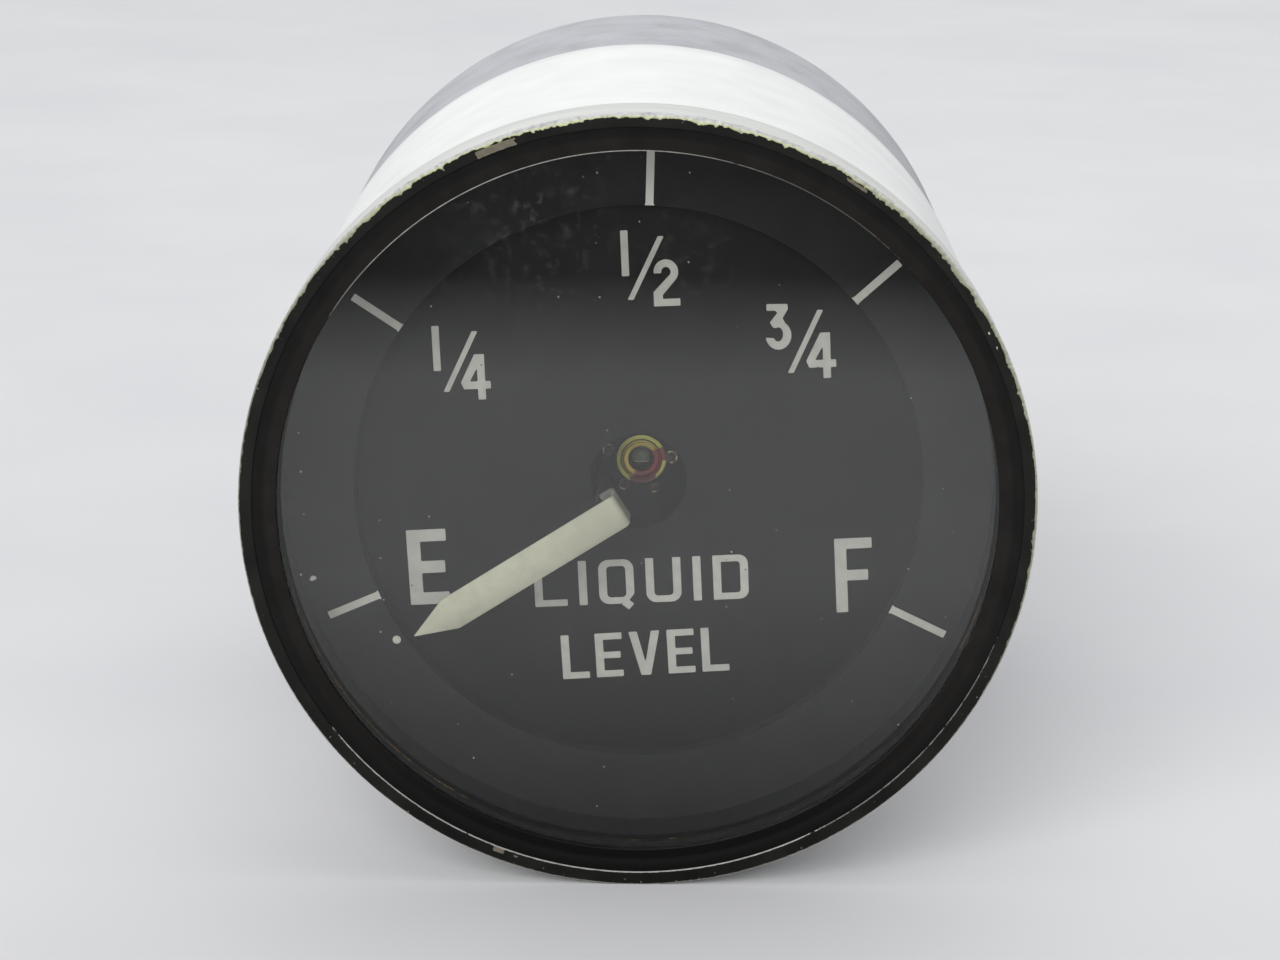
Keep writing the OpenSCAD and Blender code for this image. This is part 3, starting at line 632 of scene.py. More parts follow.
def make_retainer():
    """The ring that holds the glass, with a shallow dish and a slim inner edge, darker towards the bottom as
    painted shade.
    """
    front, rear = depths("lens_retainer")
    outer = BEZEL_BORE_R
    middle = (OPENING_R + outer) / 2
    dish = 0.12
    outline = [(OPENING_R, rear), (OPENING_R, front + 0.34), (OPENING_R, front + 0.24)]
    outline += ellipse(OPENING_R + 0.10, front + dish + 0.10, -0.10, -0.10, 0, 90, 5)[1:]
    outline += [(OPENING_R + 0.2, front + dish)]
    outline += [(middle - 0.2, front + dish), (middle, front + dish - 0.01), (middle + 0.15, front + 0.06)]
    outline += [(outer - 0.05, front + 0.01), (outer, front + 0.01), (outer, rear)]
    look = Look("retainer_black", specular=0.15)
    dished = look.step(look.radius, middle + 0.25, middle - 0.1)
    rim = look.tones(look.noise(0.5, 5.0), [srgb(15, 14, 13), srgb(22, 21, 20)])
    dish_tone = look.tones(look.noise(0.5, 5.0), [srgb(24, 22, 20), srgb(32, 29, 26)])
    black = look.mix(dished, rim, dish_tone)
    # Painted shade: the ring is darker towards the bottom, where the bezel's inner wall shades it.
    look.colour(look.worn(look.mix(look.step(look.z, -8, -24), black, srgb(10, 9, 8))))
    look.surface((1.5, 4.0, 0.30, 0.45), (1.5, 2.0, 0.08, 0.01))
    piece = lathe("lens_retainer", outline, look.material, 720)
    mark_wear_and_highlight(piece, retainer_highlight)
    dress(piece, "root", "retainer_black", "lens_retainer")


def glass_finish():
    """Clear glass that lets lamps through, with dust and a few smudges on it."""
    look = Look("glass", Transmission_Weight=1.0, IOR=1.54, Roughness=0.0)
    tint = [(0.0, (0.97, 0.985, 0.975, 1)), (1.0, (0.99, 0.995, 0.99, 1))]
    look.colour(look.ramp(look.noise(0.05, 2.0), tint))
    path = look.add("ShaderNodeLightPath").outputs
    unseen = look.math("MAXIMUM", path["Is Shadow Ray"], path["Is Diffuse Ray"])
    clear = look.add("ShaderNodeBsdfTransparent").outputs[0]
    tone = look.ramp(look.noise(3.0, 2.0), [(0.3, grey(150, 6)), (0.7, grey(205, 8))])
    dust = look.add("ShaderNodeBsdfDiffuse", Color=tone).outputs[0]
    specks = look.times(look.specks(3.1, 0.06, 0.3), 0.75)
    front = front_depth("cover_glass")
    on_front = look.step(look.depth, front + 0.4, front + 0.3)
    smudged = look.math("MAXIMUM", look.near(-7.6, front, 20.5, 9.0),
                        look.times(look.near(3.5, front, 18.5, 6.0), 0.6))
    blotches = look.ramp(look.noise(0.9, 6.0, 0.75), [(0.52, 0.0), (0.68, 0.10)])
    cover = look.math("ADD", look.times(blotches, smudged), specks, clamp=True)
    cover = look.times(cover, on_front)
    dirty = look.add("ShaderNodeMixShader", i0=cover, i1=look.shader.outputs[0], i2=dust).outputs[0]
    shown = look.add("ShaderNodeMixShader", i0=unseen, i1=dirty, i2=clear).outputs[0]
    look.links.new(shown, look.nodes["Material Output"].inputs["Surface"])
    return look.material


def make_glass():
    """The flat cover glass, with ground edges."""
    front, rear = depths("cover_glass")
    outer = outer_r("cover_glass")
    edge = 0.08
    outline = [(0, front), (outer * 0.5, front), (outer - edge, front), (outer, front + edge),
               (outer, rear - edge), (outer - edge, rear), (outer * 0.5, rear), (0, rear)]
    piece = solid_disc("cover_glass", outline, glass_finish(), 256)
    dress(piece, "root", "glass", "cover_glass")


# Dial

def dial_black(name, tones):
    """Matt black paint with a fine tooth and a few dust specks."""
    look = Look(name, specular=0.1)
    paint = look.tones(look.noise(0.25, 5.0), tones)
    look.colour(look.mix(look.specks(4.6, 0.05, 0.16), paint, srgb(120, 124, 112)))
    look.surface((1.0, 3.0, 0.62, 0.8), (0.5, 1.0, 0.05, 0.02))
    return look.material


def mark_paint(name, tones, nick_share):
    """Matt off-white paint with small dark nicks, and painted light: lighter where the bezel's shadow falls
    on the dial, to offset that shade.
    """
    look = Look(name, specular=0.2)
    paint = look.tones(look.noise(1.1, 5.0, 0.6), tones)
    # Painted light: lighter paint at the top of the dial, and towards the rim in its upper half, where the
    # bezel's shadow falls.
    upper = look.times(look.step(look.radius, 22.0, 26.0), look.step(look.z, 0.0, 8.0), 0.8)
    painted_light_share = look.math("MAXIMUM", look.step(look.z, 17.5, 21.5), upper)
    paint = look.mix(painted_light_share, paint, srgb(216, 215, 206))
    nicks = look.times(look.specks(1.3, 0.09, nick_share), 0.7)
    look.colour(look.mix(nicks, paint, srgb(62, 62, 58)))
    look.surface((3.0, 3.0, 0.6, 0.8), (1.0, 1.0, 0.05, 0.01))
    return look


def turned_and_moved(points, angle, x, z):
    """Points turned by an angle in degrees and moved to (x, z)."""
    cosine = math.cos(math.radians(angle))
    sine = math.sin(math.radians(angle))
    return [(x + u * cosine - v * sine, z + u * sine + v * cosine) for u, v in points]


STROKE = 0.60
CAP_H = 3.4
DIGIT_H = 3.37
BAR = 0.5
OUTER_CURVE = 0.75
INNER_CURVE = 0.3
LETTER_SCALE = 1.0096


def glyph_bar(width, height=CAP_H):
    """The plain stroke of an I or a 1."""
    return [[(0, 0), (width, 0), (width, height), (0, height)]]


def glyph_2():
    bowl = ellipse(0.94, 2.50, 0.89, 0.92, -38, 172)
    inner = ellipse(0.94, 2.50, 0.34, 0.37, 178, -30)
    outline = [(0, 0), (1.9, 0), (1.9, 0.53), (0.66, 0.53), (0.66, 0.82)]
    return [outline + bowl + [(0.06, 2.42), (0.60, 2.42)] + inner[1:] + [(0, 1.05)]]


def glyph_3():
    bowl = ellipse(0.93, 1.05, 0.93, 1.05, 58, -172)
    inner = ellipse(0.90, 1.13, 0.36, 0.53, 212, 480)
    outline = [(0.06, 2.88), (0.06, DIGIT_H), (1.56, DIGIT_H), (1.60, 3.0), (1.22, 2.32)]
    return [outline + bowl + inner + [(0.52, 1.66), (0.30, 2.0), (0.84, 2.72), (0.68, 2.88)]]


def glyph_4():
    outline = [(0, 0), (0.55, 0), (0.55, 0.80), (0.94, 0.80), (0.94, 1.36), (0.55, 1.36),
               (0.55, DIGIT_H), (-0.16, DIGIT_H), (-1.22, 1.30), (-1.01, 0.80), (0, 0.80)]
    hole = [(-0.57, 1.36), (0, 1.36), (0, 2.38)]
    return [outline, hole]


def glyph_e(width, height, stem, arm, middle_w, foot=True):
    """An E, or an F where it has no foot."""
    low = (height - arm) / 2
    outline = [(0, 0), (width, 0), (width, arm), (stem, arm)] if foot else [(0, 0), (stem, 0)]
    return [outline + [(stem, low), (middle_w, low), (middle_w, low + arm), (stem, low + arm),
                       (stem, height - arm), (width, height - arm), (width, height), (0, height)]]


def glyph_l(width):
    return [[(0, 0), (width, 0), (width, BAR), (STROKE, BAR), (STROKE, CAP_H), (0, CAP_H)]]


def glyph_v(width):
    foot = 0.36
    return [[(width / 2 - foot, 0), (width / 2 + foot, 0), (width, CAP_H),
             (width - 0.63, CAP_H), (width / 2, 0.95), (0.63, CAP_H), (0, CAP_H)]]


def boxed(low, high, corners):
    """A box from its lower left corner on, each corner an arc's radius or its own points."""
    outline = []
    for k, corner in enumerate(corners):
        if isinstance(corner, list):
            outline += corner
            continue
        x = high[0] - corner if k in (1, 2) else low[0] + corner
        z = high[1] - corner if k > 1 else low[1] + corner
        start = (180 + 90 * k) % 360
        outline += ellipse(x, z, corner, corner, start, start + 90, 6) if corner else [(x, z)]
    return outline


def glyph_u(width):
    outer = boxed((0, 0), (width, CAP_H), (OUTER_CURVE, OUTER_CURVE, 0))
    inner = boxed((STROKE, BAR), (width - STROKE, CAP_H), (INNER_CURVE, INNER_CURVE, 0))
    return [[(0, CAP_H)] + outer + inner[::-1] + [(STROKE, CAP_H)]]


def glyph_d(width):
    outer = 0.7
    inner = 0.25
    hole = boxed((STROKE, BAR), (width - STROKE, CAP_H - BAR), (0, inner, inner, 0))
    return [boxed((0, 0), (width, CAP_H), (0, outer, outer, 0)), hole]


def glyph_q(width):
    tail = [(1.55, 0), (2.15, -0.48), (2.55, -0.05), (2.2, 0.25), (width, OUTER_CURVE)]
    outline = boxed((0, 0), (width, CAP_H), (OUTER_CURVE, tail, OUTER_CURVE, OUTER_CURVE))
    return [outline, boxed((STROKE, BAR), (width - STROKE, CAP_H - BAR), [INNER_CURVE] * 4)]


def set_glyph(shapes, glyph, angle, x, z, corner=0.07):
    """Adds a glyph, with its corners eased, turned and placed on the dial."""
    for_dial = [[(u * LETTER_SCALE, v * LETTER_SCALE) for u, v in outline] for outline in glyph]
    shapes.append([turned_and_moved(rounded(outline, corner, 3), angle, x, z) for outline in for_dial])


def set_word(shapes, glyphs, gap, x, z, angle):
    """Adds glyphs, each with its width, one after another along a sloping line."""
    along = 0.0
    for glyph, width in glyphs:
        step_x, step_z = turned_and_moved([(along, 0)], angle, x, z)[0]
        set_glyph(shapes, glyph, angle, step_x, step_z)
        along += (width + gap) * LETTER_SCALE


def set_slash(shapes, top_left, bottom_left):
    """Adds a bar with level ends, from its two left corners."""
    width = 0.42
    shapes.append([rounded([bottom_left, (bottom_left[0] + width, bottom_left[1]),
                            (top_left[0] + width, top_left[1]), top_left], 0.05, 2)])


def dial_lettering():
    """The scale's letters and fractions and the plain legend."""
    shapes = []
    tilt = 2.6
    digit_1 = glyph_bar(0.53, 3.33)
    set_glyph(shapes, digit_1, tilt, -15.02, 8.22)
    set_slash(shapes, (-12.23, 11.22), (-14.32, 6.66))
    set_glyph(shapes, glyph_4(), tilt, -11.75, 6.10)
    set_glyph(shapes, digit_1, tilt, -1.28, 15.37)
    set_slash(shapes, (1.30, 18.34), (-0.85, 13.63))
    set_glyph(shapes, glyph_2(), tilt, 1.07, 13.15)
    set_glyph(shapes, glyph_3(), tilt - 1.6, 9.23, 9.98)
    set_slash(shapes, (12.94, 12.99), (10.88, 8.27))
    set_glyph(shapes, glyph_4(), tilt, 13.49, 7.90)
    set_glyph(shapes, glyph_e(2.90, 5.74, 0.98, 0.92, 2.72), tilt + 0.6, -16.92, -9.70, 0.1)
    set_glyph(shapes, glyph_e(2.74, 5.66, 0.86, 0.80, 2.42, False), tilt + 0.6, 14.83, -10.04, 0.1)
    small_e = (glyph_e(2.0, CAP_H, STROKE, BAR, 1.85), 2.0)
    letter_i = (glyph_bar(STROKE), STROKE)
    upper = [(glyph_l(2.4), 2.4), letter_i]
    upper += [(glyph_q(2.6), 2.6), (glyph_u(2.6), 2.6), letter_i, (glyph_d(2.6), 2.6)]
    lower = [(glyph_l(2.0), 2.0), small_e, (glyph_v(2.3), 2.3), small_e, (glyph_l(2.0), 2.0)]
    set_word(shapes, upper, 0.88, -7.64, -9.79, 2.9)
    set_word(shapes, lower, 0.52, -5.57, -15.44, 3.7)
    return shapes


# Inner and outer end of each scale tick's centre line
TICKS = (
    ((-19.11, -8.42), (-22.90, -10.06)),
    ((-17.25, 11.76), (-20.69, 14.05)),
    ((0.69, 20.87), (0.79, 25.87)),
    ((15.55, 13.94), (18.72, 16.82)),
    ((18.72, -9.25), (22.79, -11.21)),
)
OFF_DOT = (-17.90, -11.92)
OFF_DOT_R = 0.31


def tick(start, end):
    """A scale tick, a little wider where it meets the raised ring's edge."""
    length = math.dist(start, end)
    angle = math.degrees(math.atan2(end[1] - start[1], end[0] - start[0]))
    half = 0.285
    flare = 0.10
    outline = [(0, -half - flare), (0.14, -half), (length, -half),
               (length, half), (0.14, half), (0, half + flare)]
    return [turned_and_moved(rounded(outline, 0.05, 2), angle, start[0], start[1])]


def crumb(x, z, size, seed):
    """An irregular outline for a crumb that lies on the dial."""
    points = []
    for k in range(9):
        reach = size * (0.8 + 0.5 * noise.noise(Vector((k * 1.7, seed, 0.3))))
        points.append(polar(reach, k * 40))
    return [[(x + u, z + v) for u, v in points]]


def make_dial():
    """The dial plate, the raised scale ring on it, and everything painted on them."""
    plate = dial_black("dial_black", [grey(17, 1), grey(24, 1)])
    ring = dial_black("scale_ring_black", [grey(27), grey(35)])
    marks = mark_paint("mark_paint", [srgb(172, 172, 163), srgb(188, 187, 177)], 0.04).material
    worn_marks = mark_paint("legend_paint", [srgb(163, 163, 155), srgb(179, 178, 169)], 0.16).material
    front, rear = depths("dial_plate")
    rim = outer_r("dial_plate")
    outline = rounded([(DIAL_HOLE_R, front), (rim, front), (rim, rear), (DIAL_HOLE_R, rear)], 0.06, 3)
    dress(lathe("dial_plate", outline, plate, 240), "root", "dial_black", "dial_plate")
    scale_front, scale_rear = depths("scale_ring")
    outline = [(SCALE_BORE_R, scale_rear), (SCALE_BORE_R, scale_front + 0.06),
               (SCALE_BORE_R + 0.02, scale_front + 0.015), (SCALE_BORE_R + 0.06, scale_front),
               (rim, scale_front), (rim, scale_rear)]
    dress(lathe("scale_ring", outline, ring, 480), "root", "dial_black", "scale_ring")
    on_ring = [tick(start, end) for start, end in TICKS]
    on_ring.append([circle(OFF_DOT[0], OFF_DOT[1], OFF_DOT_R)])
    dress(plates("scale_marks", on_ring, scale_front - PAINT_T, PAINT_T, marks), "root", "dial_black")
    letters = plates("dial_letters", dial_lettering(), front - PAINT_T, PAINT_T, worn_marks)
    dress(letters, "root", "dial_black")
    pale = speckled("crumb_white", [grey(190, 4), grey(238, 4)], 2.0, (0.6, 0.8), 0.1)
    crumbs = [crumb(-24.03, -7.19, 0.27, 1.3), crumb(-24.9, -6.9, 0.08, 2.1)]
    dress(plates("dial_crumbs", crumbs, scale_front - 0.16, 0.16, pale), "root", "dial_black")


# Hub

# Painted shade for the inside of the bore and the gap round the stone.
BORE_SHADE = srgb(20, 17, 14)


def hub_brass():
    """Turned brass with a spot of red lacquer, and painted shade in its bore."""
    look = Look("brass_nut", HUB)
    dull = srgb(170, 144, 70)
    bright = srgb(236, 222, 106)
    flange = srgb(195, 190, 98)
    # Ring tones by radius, partly the brass's own tone and partly painted highlight, brightest round the
    # nut's bore.
    rings = look.ramp(look.step(look.radius, 0.9, 2.0), [
        (0.0, dull), (0.16, srgb(208, 180, 84)), (0.24, dull), (0.38, bright), (0.50, bright),
        (0.59, srgb(180, 176, 88)), (0.70, flange), (0.88, flange), (0.96, srgb(158, 156, 84))])
    uneven = look.ramp(look.noise(1.3, 4.0, 0.65), [(0.32, 0.8), (0.55, 1.0)])
    brass = look.mix(1.0, rings, uneven, "MULTIPLY")
    across = look.minus(look.times(look.x, 0.70), look.times(look.z, 0.72))
    side = look.plus(look.math("DIVIDE", across, look.radius), look.tear(1.6, 4.0, 0.6))
    above = look.times(look.step(look.radius, 1.9, 0.9), look.step(look.z, -0.2, 0.2), 0.42)
    bare_rim = look.times(look.step(look.x, 1.0, 1.15), look.step(look.z, -0.05, -0.2),
                          look.step(look.radius, 1.55, 1.65))
    side = look.minus(look.plus(side, above), bare_rim)
    red = look.tones(look.noise(1.8, 3.0), [srgb(140, 24, 14), srgb(164, 40, 20), srgb(176, 72, 32)])
    lacquer = look.mix(look.step(look.z, -0.5, -1.5), red, srgb(110, 46, 38))
    covered = look.step(side, 0.28, 0.38)
    coated = look.mix(covered, brass, lacquer)
    # Painted shade inside the screw's bore.
    in_bore = look.times(look.step(look.radius, 0.99, 0.95), look.step(look.depth, 15.5, 15.6))
    look.colour(look.mix(in_bore, coated, BORE_SHADE))
    bare = look.minus(1.0, look.math("MAXIMUM", covered, in_bore))
    look.links.new(bare, look.shader.inputs["Metallic"])
    look.surface((3.0, 3.0, 0.24, 0.36))
    return look.material


def jewel_finish():
    """A polished stone with a lighter rim, and painted light: a highlight line across it, painted shade
    below the line and round the edge.
    """
    look = Look("jewel", HUB)
    stone = look.tones(look.noise(1.5, 3.0), [srgb(106, 118, 86), srgb(120, 132, 96)])
    # A lighter rim, then painted light: a highlight line across the stone, painted shade below it, and
    # painted shade in the gap round its edge.
    for value, start, full, tone in ((look.radius, 0.42, 0.60, srgb(130, 128, 104)),
                                     (look.z, -0.27, -0.31, srgb(206, 204, 176)),
                                     (look.z, -0.33, -0.37, srgb(82, 68, 56)),
                                     (look.radius, 0.66, 0.69, BORE_SHADE)):
        stone = look.mix(look.step(value, start, full), stone, tone)
    look.colour(stone)
    look.surface((2.0, 3.0, 0.08, 0.16))
    return look.material


def make_hub():
    """The lock nut, the jewel screw's end and the stone set in it."""
    brass = hub_brass()
    front, rear = depths("jewel_locknut")
    bore = 1.36
    outer = outer_r("jewel_locknut")
    outline = [(bore, rear), (bore, front + 0.10), (bore + 0.04, front + 0.05), (1.46, front + 0.05),
               (1.52, front + 0.09), (1.54, front + 0.19), (1.56, front + 0.20), (1.58, front + 0.20),
               (outer - 0.08, front + 0.20), (outer - 0.06, front + 0.20), (outer - 0.02, front + 0.23),
               (outer, front + 0.30), (outer, rear)]
    dress(lathe("jewel_locknut", outline, brass, 180, HUB), "root", "brass_nut", "jewel_locknut")
    front, rear = depths("front_jewel_screw")
    outline = [(0.92, rear), (0.92, front + 0.20), (0.94, front + 0.10), (1.00, front + 0.02),
               (1.08, front), (1.28, front), (1.33, front + 0.04), (1.35, front + 0.10), (1.35, rear)]
    dress(lathe("jewel_screw", outline, brass, 180, HUB), "root", "brass_small", "front_jewel_screw")
    front, rear = depths("front_jewel")
    pivot = 0.2
    outline = [(0, front), (0.2, front + 0.01), (0.4, front + 0.06), (0.55, front + 0.13),
               (0.64, front + 0.20), (0.68, front + 0.28), (0.90, front + 0.34), (0.90, rear),
               (pivot + 0.16, rear), (pivot + 0.15, rear - 0.55), (0, rear - 0.55)]
    dress(solid_disc("jewel", outline, jewel_finish(), 96, HUB), "root", "jewel", "front_jewel")


# Each terminal's (x, z), half its width, and the arcs of painted highlight round it
TERMINALS = (
    ((-2.34, 0.73), 0.42, ((62, 108), (148, 214))),
    ((-1.16, -1.98), 0.36, ((212, 292),)),
    ((1.14, -2.22), 0.33, ((238, 300),)),
    ((2.44, 0.20), 0.44, ((72, 128), (-34, 16), (254, 284))),
)


def make_terminals():
    """Four soldered ends on the bridge's head, dark but for painted highlight in bright arcs on their rims.
    """
    dull = Look("terminal_dull", Metallic=0.3)
    dull.colour(dull.tones(dull.noise(2.2, 4.0), [srgb(44, 42, 26), srgb(70, 62, 38), srgb(104, 84, 58)]))
    dull.surface((3.0, 3.0, 0.25, 0.4))
    # Painted highlight: bright arcs where the terminals' edges catch the light.
    glint = Look("terminal_glint", Metallic=0.5)
    glint.colour(glint.tones(glint.noise(2.6, 3.0), [srgb(214, 194, 130), srgb(236, 228, 196)]))
    glint.surface((3.0, 3.0, 0.18, 0.34))
    base = front_depth("front_bridge")
    front = front_depth("terminal_pins") + 0.1
    for i, ((x, z), half, arcs) in enumerate(TERMINALS):
        high = half * 1.1
        end_shape = [(0, front), (0.16, front + 0.02), (0.24, front + 0.10), (0.27, front + 0.4),
                     (0.27, base + 1.5), (0, base + 1.5)]
        corners = [(-half, -high), (half, -high), (half, high), (-half, high)]
        tag = rounded([(x + u, z + v) for u, v in corners], half * 0.8, 6)
        glint_arcs = [[ellipse(x, z, half, high, start, end, 8) +
                 ellipse(x, z, half - 0.09, high - 0.09, end, start, 8)] for start, end in arcs]
        for piece in (solid_disc(f"terminal_{i}", end_shape, dull.material, 24, (x, z)),
                      plates(f"terminal_tag_{i}", [[tag]], front + 0.14, 0.3, dull.material),
                      plates(f"terminal_glint_arc_{i}", glint_arcs, front + 0.06, 0.1, glint.material)):
            dress(piece, "root", "brass_small", "terminal_pins")


# Pointer

def pointer_half_width(along, tip_r):
    """Half the blade's width at a distance from the axis."""
    half = POINTER_W / 2
    corner = 0.40
    if along > tip_r - POINTER_TAPER:
        return max(0.03, half * (tip_r - along) / POINTER_TAPER)
    into = POINTER_ROOT + corner - along
    return half - (corner - math.sqrt(max(0.0, corner ** 2 - into ** 2)) if into > 0 else 0.0)


def make_pointer():
    """A flat blade whose root is bent down and then back under it, to end on the arm."""
    face = front_depth("pointer")
    tip_r = SCALE_BORE_R - 1.26
    leg_down = 2.5
    leg_end = 2.80
    mid_r = POINTER_BEND_R - POINTER_T / 2
    bend_x = POINTER_ROOT + POINTER_BEND_R
    spine = [(tip_r - 0.02, 0.0), (tip_r - POINTER_TAPER, 0.0), (tip_r - 2 * POINTER_TAPER, 0.0)]
    spine += [(bend_x + 4.0, 0.0), (bend_x + 1.0, 0.0), (bend_x + 0.3, 0.0)]
    quarter = [math.pi / 2 * k / 8 for k in range(9)]
    spine += [(bend_x - mid_r * math.sin(t), mid_r - mid_r * math.cos(t)) for t in quarter]
    spine += [(bend_x - mid_r * math.cos(t), leg_down - mid_r + mid_r * math.sin(t)) for t in quarter]
    spine += [(leg_end, leg_down)]
    vertices = []
    corner = 0.07
    for i, (along, down) in enumerate(spine):
        before = Vector(spine[max(i - 1, 0)])
        after = Vector(spine[min(i + 1, len(spine) - 1)])
        run = (after - before).normalized()
        out = Vector((run.y, -run.x)) * (POINTER_T / 2)
        width = pointer_half_width(along, tip_r)
        ease = min(corner, width * 0.3)
        section = [(-width, 0.4), (-width + ease * 0.3, 0.8), (-width + ease, 1.0),
                   (width - ease, 1.0), (width - ease * 0.3, 0.8), (width, 0.4),
                   (width, -0.8), (width - ease * 0.5, -1.0), (-width + ease * 0.5, -1.0), (-width, -0.8)]
        for across, rise in section:
            a = along + out.x * rise
            d = face + POINTER_T / 2 + down + out.y * rise
            x, z = turned_and_moved([(a, across)], REST_ANGLE, *POINTER_SHIFT)[0]
            vertices.append(place(x, d, z))
    rows = len(spine)
    count = len(vertices) // rows
    faces = skin(rows, count, False)
    faces.append(tuple(range(count)))
    faces.append(tuple((rows - 1) * count + k for k in reversed(range(count))))
    look = mark_paint("pointer_cream", [srgb(166, 166, 147), srgb(179, 178, 158)], 0.02)
    painted = look.shader.inputs["Base Color"].links[0].from_socket
    # Painted shade on the wall of the bend, darker than the blade's face.
    bend_shade = look.tones(look.noise(1.4, 4.0), [srgb(130, 131, 114), srgb(142, 143, 126)])
    bare = look.tones(look.noise(1.4, 4.0), [srgb(90, 90, 84), srgb(108, 108, 100)])
    # Painted shade: the blade is darker towards its root.
    near_root = look.times(look.step(look.radius, 9.0, 4.0), 0.5)
    painted = look.mix(near_root, painted, srgb(152, 152, 133))
    painted = look.mix(look.step(look.depth, face + 0.1, face + 0.4), painted, bend_shade)
    look.colour(look.mix(look.step(look.depth, face + 1.8, face + 2.2), painted, bare))
    dress(mesh_piece("pointer", vertices, faces, look.material, 50), "rotor", "pointer_cream", "pointer")


# Case, label and receptacle

def case_finish():
    """Semi-gloss grey paint, faintly streaked, pale at the rear edge, partly worn and partly a painted
    highlight on the rolled edge.
    """
    look = Look("case_paint", specular=0.35)
    cloud = look.noise(0.22, 6.0, 0.62)
    streaks = look.noise(1.0, 5.0, 0.65, look.round_vector(5.0, 1.6, 0.6))
    paint = look.tones(cloud, [srgb(160, 162, 166), srgb(174, 176, 180), srgb(182, 184, 188)])
    paint = look.mix(look.ramp(streaks, [(0.58, 0.0), (0.74, 0.5)]), paint, srgb(206, 209, 212))
    paint = look.mix(look.ramp(streaks, [(0.26, 0.5), (0.38, 0.0)]), paint, srgb(134, 138, 146))
    rear = rear_depth("case_shell")
    outer = outer_r("case_shell")
    # Pale rear edge: worn paint and a painted highlight where the rolled edge catches the light.
    corner = look.plus(look.step(look.depth, rear - 0.9, rear - 0.1),
                       look.minus(look.step(look.radius, outer - 1.65, outer - 0.35), 1.0))
    torn = look.plus(corner, look.tear(1.4, 5.0, 0.9))
    look.colour(look.mix(look.step(torn, 0.42, 0.5), paint, srgb(203, 204, 194)))
    look.surface((0.9, 5.0, 0.34, 0.55), (1.6, 4.0, 0.12, 0.02))
    return look.material


def make_label():
    """A plain white label wound round the case, its ends lapped at the bottom."""
    look = Look("label_white", specular=0.3)
    paper = look.tones(look.noise(0.2, 5.0), [grey(229, 1), grey(238, 1)])
    scuffs = look.ramp(look.noise(0.9, 6.0, 0.72), [(0.67, 0.0), (0.74, 0.6)])
    look.colour(look.mix(scuffs, paper, grey(150, -2)))
    look.surface((0.8, 4.0, 0.4, 0.55), (0.6, 5.0, 0.15, 0.03))
    inner = outer_r("case_shell")
    outer = outer_r("label_band")
    front, rear = depths("label_band")
    lap = 0.07
    half_lap = 6.1

    def lapped(radius, depth, turn):
        on_lap = window(math.degrees(turn), 270, half_lap) > 0 and radius > inner + 0.02
        return (radius + lap if on_lap else radius), depth

    rows = [front + 0.03 + (rear - front - 0.06) * k / 12 for k in range(13)]
    outline = [(inner, front), (outer - 0.02, front)] + [(outer, d) for d in rows]
    outline += [(outer - 0.02, rear), (inner, rear)]
    piece = lathe("label_band", outline, look.material, 480, shift=lapped)
    dress(piece, "root", "label_white", "label_band")


def make_receptacle():
    """The receptacle: a square flange with four holes and a threaded barrel."""
    olive = speckled("receptacle_olive", [srgb(96, 92, 62), srgb(124, 118, 82), srgb(146, 140, 104)], 0.6,
                     (0.32, 0.5), 0.15, 3.0, Metallic=0.6)
    screw_head = 1.5
    flange_front = rear_depth("receptacle_gasket")
    flange_back = rear_depth("flange_screws") - screw_head
    half = outer_r("receptacle_gasket")
    corner_r = 2.2
    hole_at = 9.13
    hole_r = 1.45
    barrel_r = 7.94
    socket_r = 6.84
    body_r = 7.64
    outline = rounded([(-half, -half), (half, -half), (half, half), (-half, half)], corner_r, 8)
    holes = [circle(sx * hole_at, sz * hole_at, hole_r) for sx in (-1, 1) for sz in (-1, 1)]
    holes.append(circle(0, 0, body_r - 0.05, 96))
    shape = [outline] + [hole[::-1] for hole in holes]
    flange = plates("receptacle_flange", [shape], flange_front, flange_back - flange_front, olive)
    dress(flange, "root", "receptacle_olive", "receptacle_shell")
    start, end = depths("receptacle_shell")
    pitch = 1.058
    thread_h = 0.62
    groove_w = 1.6
    groove_r = barrel_r - 0.55
    groove_end = flange_back + groove_w
    rows = int((end - groove_end) / pitch * 12)
    step = (end - groove_end) / rows

    def threaded(radius, depth, turn):
        if radius < barrel_r or depth < groove_end:
            return radius, depth
        slope = abs(2 * ((depth / pitch + turn / (2 * math.pi)) % 1) - 1)
        cut = thread_h * max(0.0, min(1.0, (slope - 0.12) / 0.68))
        return min(radius - cut, barrel_r - thread_h + (end - depth)), depth

    outline = [(socket_r, start), (body_r, start), (body_r, flange_back + 0.4)]
    outline += [(barrel_r - 0.25, flange_back + 0.6), (groove_r, flange_back + 0.7)]
    outline += [(groove_r, groove_end - 0.05)]
    outline += [(barrel_r, groove_end + step * k) for k in range(rows + 1)]
    outline += [(socket_r + 0.1, end), (socket_r, end - 0.1)]
    barrel = lathe("receptacle_barrel", outline, olive, 96, shift=threaded)
    dress(barrel, "root", "receptacle_olive", "receptacle_shell")


# Floor, light and world

